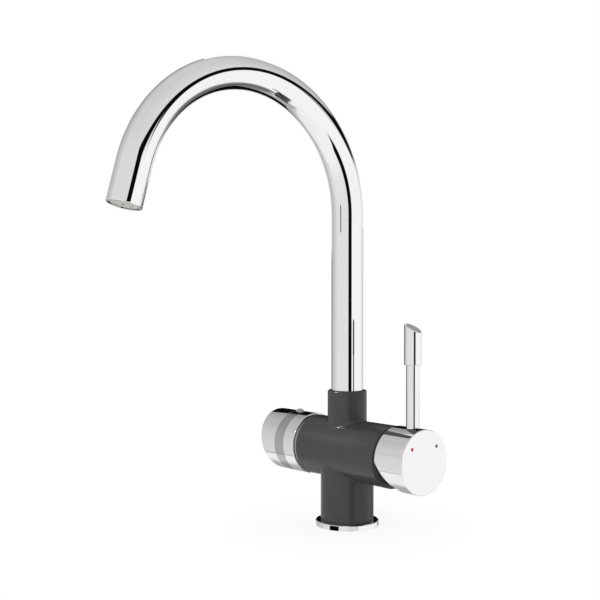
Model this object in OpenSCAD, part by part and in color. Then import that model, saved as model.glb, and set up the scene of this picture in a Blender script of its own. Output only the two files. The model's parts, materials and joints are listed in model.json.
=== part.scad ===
// Three-way kitchen tap. The side lever mixes hot and cold water, the quarter-turn knob opens
// filtered water, and both leave through one swivelling gooseneck spout.
// Millimetres, +Z up, origin at the centre of the foot on the worktop.
// The spout points to -Y, the mixer lever is on +X and the filter knob on -X.

/* [Body] */
// Diameter of the upright column
column_d = 42; // [40:0.5:48]
// Height of the cross barrel's axis above the worktop
axis_z = 60; // [56:0.5:66]
// Diameter of the cross barrel
barrel_d = 47.6; // [46.6:0.2:54]
// Reach of the barrel toward the filter knob
barrel_left = 37.5; // [34:0.5:50]
// Reach of the barrel toward the mixer lever
barrel_right = 54; // [52:0.5:70]
// Length of the taper at the barrel's knob end
taper_len = 2.3; // [1:0.1:4]
// Depth of the taper at the barrel's knob end
taper_depth = 0.6; // [0.2:0.1:1.2]
// Chamfer around the barrel's mixer end
barrel_chamfer = 0.4; // [0.2:0.1:1.2]
// Diameter of the spout collar
collar_d = 31; // [30:0.5:38]
// Height of the collar's top above the worktop
collar_top = 107; // [104:0.5:130]
// Rounding of the collar's top edge
collar_round = 1.2; // [0.4:0.1:2]

/* [Base] */
// Diameter of the base ring
ring_d = 50; // [49:0.5:60]
// Height of the base ring
ring_h = 4.2; // [3:0.1:8]
// Bevel around the top of the base ring
ring_bevel = 0.4; // [0.2:0.1:1]
// Diameter of the foot that passes through the base ring
foot_d = 36; // [34:0.5:38]
// Width of the gasket under the base ring
gasket_w = 3.6; // [2:0.1:4]
// Thickness of the gasket under the base ring
gasket_t = 1.6; // [0.8:0.1:2]

/* [Inlets and stud] */
// Diameter of the circle on which the three inlets stand
inlet_circle_d = 20; // [18.6:0.2:21]
// Tapping diameter of an inlet's thread, M10 x 1
inlet_d = 9; // [8:0.1:9.6]
// Depth of an inlet's thread
inlet_depth = 12; // [8:0.5:18]
// Tapping diameter of the fixing stud's thread, M8
stud_d = 6.8; // [5:0.1:7.4]
// Depth of the fixing stud's thread
stud_depth = 15; // [8:0.5:25]
// Diameter of the water passages that follow the inlets
riser_bore_d = 8; // [6:0.2:8.6]
// Diameter of the cross drillings to the valves
port_d = 4.6; // [3.4:0.1:5]

/* [Spout] */
// Diameter of the spout tube
tube_d = 25; // [23.6:0.1:25.6]
// Wall of the spout tube
tube_wall = 1.5; // [1:0.1:1.8]
// Height at which the spout starts to bend
bend_start_z = 245; // [180:1:330]
// Radius of the bend, to the tube's centre line
bend_r = 99; // [70:1:130]
// Angle of the bend
bend_sweep = 164.3; // [120:0.1:180]
// Straight length of tube after the bend
outlet_len = 29.7; // [24:0.1:80]
// Depth of the socket in the collar that takes the tube
socket_depth = 10; // [6:0.5:12]
// Depth of the bore under the socket that takes the spigot
spigot_depth = 17; // [16.5:0.5:19]
// Length of spigot inside the tube
spigot_grip = 15; // [8:0.5:25]
// Diameter of the spigot in its bore
spigot_d = 19.9; // [19.4:0.1:21]
// Wall of the spigot
spigot_wall = 3.2; // [2.8:0.1:3.6]
// Height of the mixing space under the spigot
plenum_h = 2; // [1:0.1:2.2]
// Thickness of the thrust washer under the tube
washer_t = 1.5; // [0.8:0.1:3]
// Thickness of an O-ring's section on the spigot
spigot_seal_t = 2; // [1.6:0.1:2.2]
// Diameter of the spigot's retaining screw
collar_screw_d = 4; // [3:0.5:4]

/* [Filter water tube] */
// Outer diameter of the filter water tube
inner_tube_d = 8; // [6:0.1:9]
// Wall of the filter water tube
inner_tube_wall = 1; // [0.6:0.1:1.4]
// Length of the filter water tube below the spigot's bore
inner_tube_seat = 8; // [6:0.5:9]

/* [Aerator] */
// Length of the aerator housing
aerator_len = 9; // [7:0.5:14]
// Wall of the aerator housing
aerator_wall = 1.6; // [1:0.1:2]
// Depth of the aerator behind the spout's end
aerator_recess = 0.6; // [0.2:0.1:3]
// Thickness of the sealing washer behind the aerator
aerator_seal_t = 1.6; // [1:0.1:2.5]
// Thickness of the honeycomb insert
insert_t = 4; // [2:0.1:5]
// Number of openings in the honeycomb insert
insert_holes = 14; // [8:1:16]
// Thickness of the screen behind the insert
screen_t = 0.8; // [0.4:0.1:1.5]

/* [Filter knob] */
// Diameter of the filter knob
knob_d = 49.4; // [47:0.2:54]
// Gap between the barrel and the knob
knob_gap = 0.6; // [0.4:0.1:2.5]
// Length of the chrome skirt
skirt_len = 12.1; // [10.5:0.1:16]
// Wall of the chrome skirt
skirt_wall = 2.5; // [1.5:0.1:4]
// Length of the satin band
band_len = 11.2; // [8:0.1:16]
// Length of the end cap, on the knob's axis
end_cap_len = 17.1; // [15:0.1:26]
// Slant of the end cap's face
end_cap_slant = 13; // [0:0.5:16]
// Diameter of the core that carries band and end cap
knob_core_d = 40; // [34:0.5:42]
// Diameter of the pip on the band
pip_d = 7; // [4:0.1:7.2]
// Height of the pip above the band
pip_h = 2; // [1:0.1:3]
// Distance from the end cap to the pip's centre
pip_inset = 3.6; // [3.6:0.1:5]

/* [Filter valve] */
// Diameter of the valve body in the barrel
valve_d = 18.4; // [17:0.1:20]
// Depth of the valve chamber in the barrel
valve_depth = 22.5; // [21.5:0.5:23]
// Width across flats of the valve's hexagon
valve_hex = 22; // [20:0.5:26]
// Thickness of the valve's hexagon
valve_hex_t = 5; // [3:0.1:6]
// Diameter of the valve spindle
spindle_d = 8; // [7:0.1:9]
// Thickness of a filter valve disc
filter_disc_t = 3.4; // [2.5:0.1:4]
// Thickness of the seat seal and of the flange seal
valve_seal_t = 1.6; // [1:0.1:2]
// Thread diameter of the knob's screw
knob_screw_d = 4; // [3:0.1:4.5]

/* [Mixer cap and lever] */
// Diameter of the mixer cap
cap_d = 48.6; // [47.4:0.2:51]
// Gap between the barrel and the mixer cap
cap_gap = 1.05; // [0.8:0.05:2.5]
// Length of the mixer cap
cap_len = 27.9; // [26:0.1:34]
// Wall of the mixer cap
cap_wall = 3.3; // [2.6:0.1:4]
// Thickness of the mixer cap's face
cap_face_t = 3; // [2:0.1:4]
// Slant of the lower half of the cap's rim
cap_rim_slant = 31.4; // [29:0.1:35]
// Distance from the cap's face to the lever's axis
lever_inset = 11.8; // [9.5:0.1:12.5]
// Diameter of the lever rod
rod_d = 10; // [8:0.1:11]
// Height of the rod above the cap
rod_len = 46.7; // [30:0.1:80]
// Diameter of the lever grip
grip_d = 13; // [11.5:0.1:18]
// Length of the lever grip, on its axis
grip_len = 27.9; // [24:0.1:60]
// Slant of the grip's top
grip_slant = 28.5; // [0:0.5:40]
// Turn of that slant around the grip, from the cap's face toward the back
grip_turn = 15; // [-180:1:180]
// Diameter of the hot and cold dots
dot_d = 2.6; // [1.5:0.1:4]
// Distance of a dot from the cap's axis, sideways
dot_y = 13; // [9:0.1:14]
// Distance of a dot above the cap's axis
dot_z = 11; // [9:0.1:13]

/* [Mixer cartridge] */
// Diameter of the mixer cartridge
cartridge_d = 35; // [34:0.5:36]
// Wall of the cartridge housing
cartridge_wall = 3.4; // [2.6:0.1:3.6]
// Distance from the barrel's end to the lever's pivot
pivot_inset = 1; // [0:0.1:2]
// Length of the stem's arm inside the cartridge
arm_len = 12; // [11:0.1:12.6]
// Largest tilt of the lever
tilt_max = 25; // [15:1:25]
// Thickness of a mixer disc
mixer_disc_t = 4; // [3:0.1:5]
// Thickness of the cartridge's base plate
base_plate_t = 4; // [3.2:0.1:6]
// Thickness of the port seals
port_seal_t = 1.6; // [1:0.1:2]
// Diameter of the rotor's neck
rotor_neck_d = 19; // [17:0.1:20]
// Thickness of the stem's blade
blade_t = 6; // [4.5:0.1:6.5]
// Height of the stem's blade
blade_h = 8; // [6:0.1:8.4]
// Diameter of the pivot pin
pivot_pin_d = 3; // [2:0.1:4]
// Height of the cartridge nut
nut_t = 5; // [3:0.1:6]
// Diameter of the screw that holds the cap on the stem
cap_screw_d = 5; // [3:0.5:6]

/* [Clearances] */
// Gap around pieces that are pressed, screwed or glued together
fit_gap = 0.05; // [0.02:0.01:0.1]
// Gap around shafts that turn in their bores
run_gap = 0.05; // [0.02:0.01:0.1]
// Gap between faces that slide over each other
face_gap = 0.05; // [0.02:0.01:0.2]
// Gap between pieces that pass each other freely
free_gap = 0.3; // [0.2:0.05:0.4]
// Gap between the cap's inside and the bonnet
bonnet_gap = 0.6; // [0.3:0.1:1]

/* [Hidden] */
$fn = 96;
// Overshoot of every cut past the face that it opens
over = 1;

// Colours of the finishes
anthracite = [0.29, 0.29, 0.30];
chrome = [0.85, 0.86, 0.87];
satin_grey = [0.60, 0.60, 0.60];
pale_grey = [0.80, 0.80, 0.80];
brass = [0.80, 0.66, 0.36];
steel = [0.70, 0.71, 0.72];
rubber = [0.10, 0.10, 0.10];
ceramic = [0.93, 0.92, 0.88];
resin = [0.90, 0.90, 0.86];

// The gasket lies in the middle of the ring's underside
gasket_outer_r = (ring_d + foot_d) / 4 + gasket_w / 2;

// Spout socket, from the collar's top down
socket_floor = collar_top - socket_depth;
spigot_floor = socket_floor - spigot_depth;
socket_r = tube_d / 2 + free_gap;
spigot_r = spigot_d / 2;
spigot_bore_r = spigot_r + run_gap;
tube_foot_z = socket_floor + washer_t;
tube_bore_r = tube_d / 2 - tube_wall;
inner_tube_r = inner_tube_d / 2;
// The straight outlet is drawn this much thinner than the bend that it starts in
seam_step = 0.02;
// Retaining groove at the middle of the spigot's bore, with an O-ring groove on either side
groove_z = (socket_floor + spigot_floor) / 2;
groove_w = collar_screw_d;
groove_depth = 1.7;
groove_land = 1.2;
seal_z_offset = groove_w / 2 + spigot_seal_t / 2 + groove_land;
dog_point_step = 1.2;
dog_point_d = collar_screw_d - dog_point_step;
hex_socket_depth = 2.5;
// Gland for the filter tube's seal at the bottom of the spigot's bore
gland_wall = 1.2;
gland_depth = 3;
seat_end = 1;

// Water passages in the casting
inlet_r = inlet_circle_d / 2;
hot_cold_x = inlet_r * cos(60);
hot_cold_y = inlet_r * sin(60);
filter_inlet_x = -inlet_r;
inlet_port_y = 6.5;
inlet_port_z = 5;
mixed_port_low = -6;
mixed_port_high = 2;
mixed_riser_x = 7.7;
mixed_port_r = 2;
filter_port_z = 5;
filter_port_r = 1.9;

// Aerator and filter nozzle, from the spout's end inward
insert_inner_r = inner_tube_r + fit_gap;
insert_outer_r = tube_bore_r - aerator_wall - fit_gap;
insert_rib = 0.9;
insert_middle_r = (insert_inner_r + insert_outer_r) / 2;
insert_hole_r = min((insert_outer_r - insert_inner_r) / 2 - insert_rib,
                    insert_middle_r * sin(180 / insert_holes) - insert_rib / 2);
nozzle_back = aerator_recess + aerator_len + aerator_seal_t;
nozzle_proud = 0.2;
nozzle_tail_r = inner_tube_r - inner_tube_wall - fit_gap;
nozzle_tail_len = 4;
nozzle_wall = 0.9;

// Filter valve, from the barrel's end outward and inward
valve_r = valve_d / 2;
valve_floor_x = -barrel_left + valve_depth;
valve_wall = 1.7;
valve_chamber_r = valve_r - valve_wall;
fixed_disc_x = valve_floor_x - valve_seal_t;
turning_disc_x = fixed_disc_x - filter_disc_t - face_gap;
spindle_x = turning_disc_x - filter_disc_t - face_gap;
spindle_flange_t = 3.4;
valve_shoulder_x = spindle_x - spindle_flange_t - free_gap;
valve_hex_x = -barrel_left - valve_hex_t;
valve_neck_wall = 3;
valve_neck_r = spindle_d / 2 + valve_neck_wall;
flange_seal_inset = 0.7;
flange_seal_r = valve_hex / 2 - flange_seal_inset;
spindle_seal_t = 1;

// Filter knob, outward from the barrel
skirt_x = -barrel_left - knob_gap;
band_x = skirt_x - skirt_len;
end_cap_x = band_x - band_len;
end_face_x = end_cap_x - end_cap_len;
knob_r = knob_d / 2;
core_r = knob_core_d / 2;
core_wall = 3;
core_overlap = 3.4;
web_inset = 1.8;
web_x = band_x + web_inset;
web_t = 3.5;
hub_wall = 4;
hub_r = spindle_d / 2 + hub_wall;
hub_overlap = 1.4;
hub_x = end_cap_x - hub_overlap;
hub_end_t = 2;
spindle_end_x = hub_x + hub_end_t;
spline_sides = 12;
screw_head_r = knob_screw_d;
screw_head_t = 2.5;
screw_reach = 10;
pip_x = end_cap_x + pip_inset;
pip_seat = 1.5;
pip_step = 0.1;
// Spindle clip between the knob's web and the end of the valve's neck
clip_t = 0.8;
clip_depth = 0.7;
clip_x = web_x + free_gap + clip_t;
valve_neck_x = clip_x + free_gap;
// O-rings a third and two thirds along the spindle's bore
spindle_seal_places =
    [for (share = [1, 2]) valve_shoulder_x + (valve_neck_x - valve_shoulder_x) * share / 3];

// Mixer cartridge, inward from the lever's pivot
pivot_x = barrel_right - pivot_inset;
ball_r = 3;
ball_x = pivot_x - arm_len;
ball_gap = 0.4;
coupler_rise = 2.4;
coupler_top_x = ball_x + coupler_rise;
coupler_floor_t = 1;
coupler_x = ball_x - ball_r - ball_gap - coupler_floor_t;
moving_disc_x = coupler_x - mixer_disc_t;
mixer_fixed_x = moving_disc_x - face_gap - mixer_disc_t;
chamber_x = mixer_fixed_x - base_plate_t;
disc_travel = arm_len * sin(tilt_max);
housing_r = cartridge_d / 2;
chamber_r = housing_r + fit_gap;
disc_bore_r = housing_r - cartridge_wall;
moving_disc_r = disc_bore_r - disc_travel / 2 - free_gap;
// At rest the moving disc stands half its travel below the axis
disc_rest_z = -disc_travel / 2;
// Rotor with its flange, its neck and two prongs that guide the coupler
flange_x = coupler_top_x + 2 * free_gap;
flange_t = 5.7;
flange_r = disc_bore_r - free_gap;
lip_x = flange_x + flange_t + free_gap;
lip_t = 2;
neck_r = rotor_neck_d / 2;
ear_len = 6;
neck_end_x = pivot_x + ear_len;
coupler_flat = 2;
coupler_y = moving_disc_r - coupler_flat;
prong_y = coupler_y + free_gap;
prong_x = coupler_x + 2 * free_gap;
slot_gap = 0.2;
slot_w = blade_t + 2 * slot_gap;
slot_half = 8;
stem_arm_r = 2;
stem_hub_rim = 1;
stem_hub_r = blade_h / 2 + stem_hub_rim;
// Nut and bonnet in the barrel's end
housing_neck_len = 6;
nut_x = lip_x + lip_t - housing_neck_len;
housing_neck_wall = 5.5;
housing_neck_r = neck_r + housing_neck_wall;
cap_r = cap_d / 2;
cap_inner_r = cap_r - cap_wall;
bonnet_r = cap_inner_r - bonnet_gap;
bonnet_wall = 2.2;
bonnet_foot_x = nut_x + nut_t;
bonnet_rise = 11.5;
bonnet_end_x = pivot_x + bonnet_rise;
bonnet_mouth_r = 12.5;
counterbore_r = bonnet_r + fit_gap;
spanner_notch_w = 4;
spanner_notch_t = 2;

// Mixer cap and lever
cap_x = barrel_right + cap_gap;
face_x = cap_x + cap_len;
face_inner_x = face_x - cap_face_t;
boss_offset = 17.5;
boss_x = pivot_x + boss_offset;
boss_r = 8;
blade_end_gap = 2;
blade_end_x = face_inner_x - blade_end_gap;
cap_screw_x = (boss_x + face_inner_x) / 2;
cap_screw_len = 5;
lever_x = face_x - lever_inset;
rod_spigot_r = 3;
cap_top_z = axis_z + cap_r;
grip_z = cap_top_z + rod_len;
tenon_step = 1;
tenon_r = rod_d / 2 - tenon_step;
tenon_len = 18;
grip_top_z = grip_z + grip_len;
dot_t = 0.8;
dot_proud = 0.1;
// Size of a block that is larger than any piece it cuts
block = 120;

// Places children with their +Z along the cross barrel's axis, toward +X
module on_axis(x) translate([x, 0, axis_z]) rotate([0, 90, 0]) children();

// Solid cylinder on the cross barrel's axis
module rod_x(x0, x1, r) on_axis(x0) cylinder(h = x1 - x0, r = r);

// Solid turned about the cross barrel's axis; each point is [radius, x]
module turned_x(points) on_axis(0) rotate_extrude() polygon(points);

// Solid turned about the tap's upright axis; each point is [radius, z]
module turned_z(points) rotate_extrude() polygon(points);

// Flat ring about Z
module ring(outer, inner, h) difference() {
    cylinder(r = outer, h = h);
    translate([0, 0, -over]) cylinder(r = inner, h = h + 2 * over);
}

// Ring of round section about Z
module o_ring(outer, section) rotate_extrude()
    translate([outer - section / 2, 0]) circle(d = section);

// Cylinder along the cross axis, set off from it by y and z
module drill_x(x0, x1, y, z, r) translate([0, y, z]) rod_x(x0, x1, r);

// Solid gooseneck of one radius, from its foot to the end of a straight tail
module gooseneck(r, foot_z, tail) {
    translate([0, 0, foot_z]) cylinder(r = r, h = bend_start_z - foot_z);
    translate([0, -bend_r, bend_start_z]) rotate([90, 0, 90])
        rotate_extrude(angle = bend_sweep) translate([bend_r, 0]) circle(r = r);
    at_outlet(-outlet_len - over) cylinder(r = r - seam_step, h = tail + over);
}

// Places children at the spout's end, with +Z out along the stream
module at_outlet(z) translate([0, -bend_r, bend_start_z]) rotate([bend_sweep, 0, 0])
    translate([0, bend_r, outlet_len + z]) children();

// Places children at the lever's pivot, with +Z along the pivot pin
module at_pivot() translate([pivot_x, 0, axis_z]) rotate([90, 0, 0]) children();

// Round slot along Z, drilled along the cross axis
module mixed_port(x0, x1) {
    drill_x(x0, x1, 0, mixed_port_low + mixed_port_r, mixed_port_r);
    drill_x(x0, x1, 0, mixed_port_high - mixed_port_r, mixed_port_r);
    translate([x0, -mixed_port_r, axis_z + mixed_port_low + mixed_port_r])
        cube([x1 - x0, 2 * mixed_port_r, mixed_port_high - mixed_port_low - 2 * mixed_port_r]);
}

// Hot and cold ports side by side with the mixed water's slot
module mixer_ports(x0, x1) {
    for (side = [-1, 1]) drill_x(x0, x1, side * inlet_port_y, inlet_port_z, port_d / 2);
    mixed_port(x0, x1);
}

// Inlet and outlet ports of the filter valve
module filter_ports(x0, x1)
    for (side = [-1, 1]) drill_x(x0, x1, 0, side * filter_port_z, filter_port_r);

// Collar with a rounded top edge, from the barrel's axis up
module collar_blank() rotate_extrude() union() {
    translate([0, axis_z]) square([collar_d / 2, collar_top - collar_round - axis_z]);
    translate([0, axis_z]) square([collar_d / 2 - collar_round, collar_top - axis_z]);
    translate([collar_d / 2 - collar_round, collar_top - collar_round]) circle(r = collar_round);
}

module barrel_blank() turned_x([
    [0, -barrel_left], [barrel_d / 2 - taper_depth, -barrel_left],
    [barrel_d / 2, -barrel_left + taper_len], [barrel_d / 2, barrel_right - barrel_chamfer],
    [barrel_d / 2 - barrel_chamfer, barrel_right], [0, barrel_right]]);

// Threaded inlets with their risers, and the stud's thread
module foot_bores() {
    places = [[hot_cold_x, hot_cold_y, axis_z + inlet_port_z],
              [hot_cold_x, -hot_cold_y, axis_z + inlet_port_z],
              [filter_inlet_x, 0, axis_z - filter_port_z]];
    for (p = places) translate([p[0], p[1], -over]) {
        cylinder(d = inlet_d, h = inlet_depth + over);
        cylinder(d = riser_bore_d, h = p[2] + over);
    }
    translate([0, 0, -over]) cylinder(d = stud_d, h = stud_depth + over);
}

// Drillings between the inlets, the two valve chambers and the spout
module water_passages() {
    for (side = [-1, 1])
        drill_x(hot_cold_x, chamber_x + over, side * inlet_port_y, inlet_port_z, port_d / 2);
    mixed_port(mixed_riser_x, chamber_x + over);
    translate([mixed_riser_x, 0, axis_z])
        cylinder(r = mixed_port_r, h = spigot_floor + over - axis_z);
    drill_x(valve_floor_x - over, filter_inlet_x, 0, -filter_port_z, filter_port_r);
    drill_x(valve_floor_x - over, 0, 0, filter_port_z, filter_port_r);
    translate([0, 0, axis_z + filter_port_z])
        cylinder(r = filter_port_r, h = spigot_floor - axis_z - filter_port_z);
}

// Socket, spigot bore and filter tube seat in the collar
module spout_bores() {
    translate([0, 0, socket_floor]) cylinder(r = socket_r, h = socket_depth + over);
    translate([0, 0, spigot_floor]) cylinder(r = spigot_bore_r, h = spigot_depth + over);
    translate([0, 0, spigot_floor - gland_depth])
        cylinder(r = inner_tube_r + gland_wall + fit_gap, h = gland_depth + over);
    translate([0, 0, spigot_floor - inner_tube_seat - seat_end])
        cylinder(r = inner_tube_r + free_gap, h = inner_tube_seat + seat_end);
    translate([0, 0, groove_z]) rotate([-90, 0, 0])
        cylinder(r = collar_screw_d / 2 + fit_gap, h = collar_d);
}

module body_casting() color(anthracite) difference() {
    union() {
        cylinder(d = foot_d, h = ring_h);
        translate([0, 0, ring_h]) cylinder(d = column_d, h = axis_z - ring_h);
        barrel_blank();
        collar_blank();
    }
    rod_x(chamber_x, barrel_right + over, chamber_r);
    rod_x(nut_x, barrel_right + over, counterbore_r);
    rod_x(-barrel_left - over, valve_floor_x, valve_r + fit_gap);
    foot_bores();
    water_passages();
    spout_bores();
}

module base_ring() color(chrome) difference() {
    turned_z([[foot_d / 2 + fit_gap, 0], [ring_d / 2, 0], [ring_d / 2, ring_h - ring_bevel],
              [ring_d / 2 - ring_bevel, ring_h], [foot_d / 2 + fit_gap, ring_h]]);
    translate([0, 0, -over])
        ring(gasket_outer_r + fit_gap, gasket_outer_r - gasket_w - fit_gap,
             gasket_t + fit_gap + over);
}

module base_gasket() color(rubber) ring(gasket_outer_r, gasket_outer_r - gasket_w, gasket_t);

module spout_thrust_washer() color(resin) translate([0, 0, socket_floor])
    ring(socket_r - fit_gap, spigot_r + free_gap, washer_t);

// Set screw with a dog point that stands in the spigot's groove
module spout_retaining_screw() color(steel) translate([0, 0, groove_z]) rotate([-90, 0, 0])
    difference() {
        union() {
            translate([0, 0, spigot_bore_r + free_gap])
                cylinder(d = collar_screw_d, h = collar_d / 2 - spigot_bore_r - 3 * free_gap);
            translate([0, 0, spigot_r - groove_depth + free_gap])
                cylinder(d = dog_point_d, h = groove_depth + free_gap);
        }
        translate([0, 0, collar_d / 2 - hex_socket_depth])
            cylinder(d = collar_screw_d / 2, h = hex_socket_depth + over, $fn = 6);
    }

module filter_tube_seal() color(rubber) translate([0, 0, spigot_floor - gland_depth])
    ring(inner_tube_r + gland_wall, inner_tube_r + run_gap, gland_depth - free_gap);

module cartridge_housing() color(resin) difference() {
    union() {
        rod_x(mixer_fixed_x, nut_x, housing_r);
        rod_x(mixer_fixed_x, lip_x + lip_t, housing_neck_r);
    }
    rod_x(mixer_fixed_x - over, lip_x, disc_bore_r);
    rod_x(mixer_fixed_x, lip_x + lip_t + over, neck_r + run_gap);
}

module cartridge_base_plate() color(resin) difference() {
    rod_x(chamber_x, mixer_fixed_x, housing_r);
    mixer_ports(chamber_x - over, mixer_fixed_x + over);
    for (side = [-1, 1])
        drill_x(chamber_x - over, chamber_x + port_seal_t, side * inlet_port_y, inlet_port_z,
                port_d / 2 + port_seal_t + fit_gap);
}

module cartridge_port_seals() color(rubber) for (side = [-1, 1])
    translate([0, side * inlet_port_y, inlet_port_z]) on_axis(chamber_x)
        ring(port_d / 2 + port_seal_t, port_d / 2, port_seal_t);

module mixer_fixed_disc() color(ceramic) difference() {
    rod_x(mixer_fixed_x, mixer_fixed_x + mixer_disc_t, disc_bore_r - fit_gap);
    mixer_ports(mixer_fixed_x - over, mixer_fixed_x + mixer_disc_t + over);
}

module cartridge_nut() color(brass) difference() {
    rod_x(nut_x, nut_x + nut_t, bonnet_r);
    rod_x(nut_x - over, nut_x + nut_t + over, housing_neck_r + free_gap);
    for (turn = [0, 90]) on_axis(nut_x + nut_t - spanner_notch_t) rotate([0, 0, turn])
        translate([-block / 2, -spanner_notch_w / 2, 0])
            cube([block, spanner_notch_w, spanner_notch_t + over]);
}

// Domed ring about the lever's pivot, so that the tilting cap passes over it
module cartridge_bonnet() color(anthracite) difference() {
    union() {
        rod_x(bonnet_foot_x, pivot_x, bonnet_r);
        intersection() {
            on_axis(pivot_x) sphere(r = bonnet_r);
            rod_x(pivot_x, bonnet_end_x, bonnet_r);
        }
    }
    rod_x(bonnet_foot_x - over, pivot_x, bonnet_r - bonnet_wall);
    intersection() {
        on_axis(pivot_x) sphere(r = bonnet_r - bonnet_wall);
        rod_x(pivot_x - over, bonnet_end_x - bonnet_wall, bonnet_r);
    }
    rod_x(bonnet_foot_x, bonnet_end_x + over, bonnet_mouth_r);
}

module filter_valve_body() color(brass) difference() {
    union() {
        rod_x(-barrel_left, fixed_disc_x, valve_r);
        on_axis(valve_hex_x) cylinder(d = valve_hex / cos(30), h = valve_hex_t, $fn = 6);
        rod_x(valve_neck_x, valve_hex_x, valve_neck_r);
    }
    rod_x(valve_shoulder_x, fixed_disc_x + over, valve_chamber_r);
    rod_x(valve_neck_x - over, valve_shoulder_x + over, spindle_d / 2 + run_gap);
    on_axis(-barrel_left - valve_seal_t) ring(flange_seal_r + fit_gap, valve_r, valve_seal_t);
}

// Seal that lies in a recess of the valve's hexagon, against the barrel's end
module filter_flange_seal() color(rubber) on_axis(-barrel_left - valve_seal_t)
    ring(flange_seal_r, valve_r + fit_gap, valve_seal_t);

module filter_seat_seal() color(rubber) difference() {
    rod_x(fixed_disc_x, valve_floor_x, valve_r);
    filter_ports(fixed_disc_x - over, valve_floor_x + over);
}

module filter_fixed_disc() color(ceramic) difference() {
    rod_x(fixed_disc_x - filter_disc_t, fixed_disc_x, valve_chamber_r - fit_gap);
    filter_ports(fixed_disc_x - filter_disc_t - over, fixed_disc_x + over);
}

module spout_tube() color(chrome) difference() {
    gooseneck(tube_d / 2, tube_foot_z, outlet_len);
    gooseneck(tube_bore_r, tube_foot_z - over, outlet_len + over);
}

module spout_spigot() color(brass) difference() {
    union() {
        translate([0, 0, spigot_floor + plenum_h])
            cylinder(r = spigot_r, h = tube_foot_z - spigot_floor - plenum_h);
        translate([0, 0, tube_foot_z]) cylinder(r = tube_bore_r - fit_gap, h = spigot_grip);
    }
    translate([0, 0, spigot_floor - over])
        cylinder(r = spigot_r - spigot_wall, h = spigot_depth + spigot_grip + washer_t + 2 * over);
    translate([0, 0, groove_z - groove_w / 2])
        ring(spigot_r + over, spigot_r - groove_depth, groove_w);
    for (side = [-1, 1])
        translate([0, 0, groove_z + side * seal_z_offset - spigot_seal_t / 2 - fit_gap])
            ring(spigot_r + over, spigot_r - spigot_seal_t, spigot_seal_t + 2 * fit_gap);
}

module spout_o_rings() color(rubber) for (side = [-1, 1])
    translate([0, 0, groove_z + side * seal_z_offset]) o_ring(spigot_r, spigot_seal_t);

module filter_water_tube() color(resin) difference() {
    gooseneck(inner_tube_r, spigot_floor - inner_tube_seat, outlet_len - nozzle_back);
    gooseneck(inner_tube_r - inner_tube_wall, spigot_floor - inner_tube_seat - over,
              outlet_len - nozzle_back + over);
}

// Nozzle at the middle of the aerator, with a tail inside the filter water tube
module filter_nozzle() color(resin) at_outlet(-nozzle_back) difference() {
    union() {
        cylinder(r = inner_tube_r, h = nozzle_back - aerator_recess + nozzle_proud);
        translate([0, 0, -nozzle_tail_len]) cylinder(r = nozzle_tail_r, h = nozzle_tail_len);
    }
    translate([0, 0, -nozzle_tail_len - over])
        cylinder(r = nozzle_tail_r - nozzle_wall, h = nozzle_back + nozzle_tail_len + 2 * over);
}

module aerator_housing() color(chrome) at_outlet(-aerator_recess - aerator_len)
    ring(tube_bore_r - fit_gap, tube_bore_r - aerator_wall, aerator_len);

// Insert with a ring of round openings around the nozzle
module aerator_insert() color(resin) at_outlet(-aerator_recess - insert_t) difference() {
    ring(insert_outer_r, insert_inner_r, insert_t);
    for (i = [0 : insert_holes - 1]) rotate([0, 0, i * 360 / insert_holes])
        translate([insert_middle_r, 0, -over]) cylinder(r = insert_hole_r, h = insert_t + 2 * over);
}

module aerator_screen() color(steel) at_outlet(-aerator_recess - insert_t - screen_t)
    ring(insert_outer_r, insert_inner_r, screen_t);

module aerator_seal() color(rubber)
    at_outlet(-aerator_recess - aerator_len - aerator_seal_t)
        ring(tube_bore_r - fit_gap, tube_bore_r - 2 * aerator_wall, aerator_seal_t);

// Chrome skirt with the hub that takes the spindle, and the core for band and end cap
module filter_knob_skirt() color(chrome) difference() {
    turned_x([
        [0, hub_x], [hub_r, hub_x], [hub_r, web_x - web_t],
        [core_r - core_wall, web_x - web_t], [core_r - core_wall, end_cap_x - core_overlap],
        [core_r, end_cap_x - core_overlap], [core_r, band_x], [knob_r, band_x],
        [knob_r, skirt_x], [knob_r - skirt_wall, skirt_x], [knob_r - skirt_wall, web_x],
        [0, web_x]]);
    on_axis(spindle_end_x - free_gap)
        cylinder(r = spindle_d / 2 + fit_gap, h = block, $fn = spline_sides);
    rod_x(hub_x - over, spindle_end_x, knob_screw_d / 2 + fit_gap);
}

module filter_knob_band() color(satin_grey) difference() {
    rod_x(end_cap_x, band_x, knob_r);
    rod_x(end_cap_x - over, band_x + over, core_r + fit_gap);
    translate([pip_x, 0, axis_z + knob_r - pip_seat])
        cylinder(d = pip_d + 2 * fit_gap, h = pip_seat + over);
}

module filter_knob_end_cap() color(chrome) difference() {
    rod_x(end_face_x - knob_r * tan(end_cap_slant), end_cap_x, knob_r);
    rod_x(end_cap_x - core_overlap - screw_head_t - over, end_cap_x + over, core_r + fit_gap);
    translate([end_face_x, 0, axis_z]) rotate([0, -end_cap_slant, 0])
        translate([-block, -block / 2, -block / 2]) cube(block);
}

// Domed pip in its seat on the band
module filter_knob_pip() color(pale_grey) {
    dome_r = (pow(pip_d / 2 - pip_step, 2) + pow(pip_h, 2)) / (2 * pip_h);
    translate([pip_x, 0, axis_z + knob_r]) rotate_extrude() {
        translate([0, -pip_seat]) square([pip_d / 2, pip_seat]);
        intersection() {
            translate([0, pip_h - dome_r]) circle(r = dome_r);
            square(pip_d);
        }
    }
}

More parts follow.
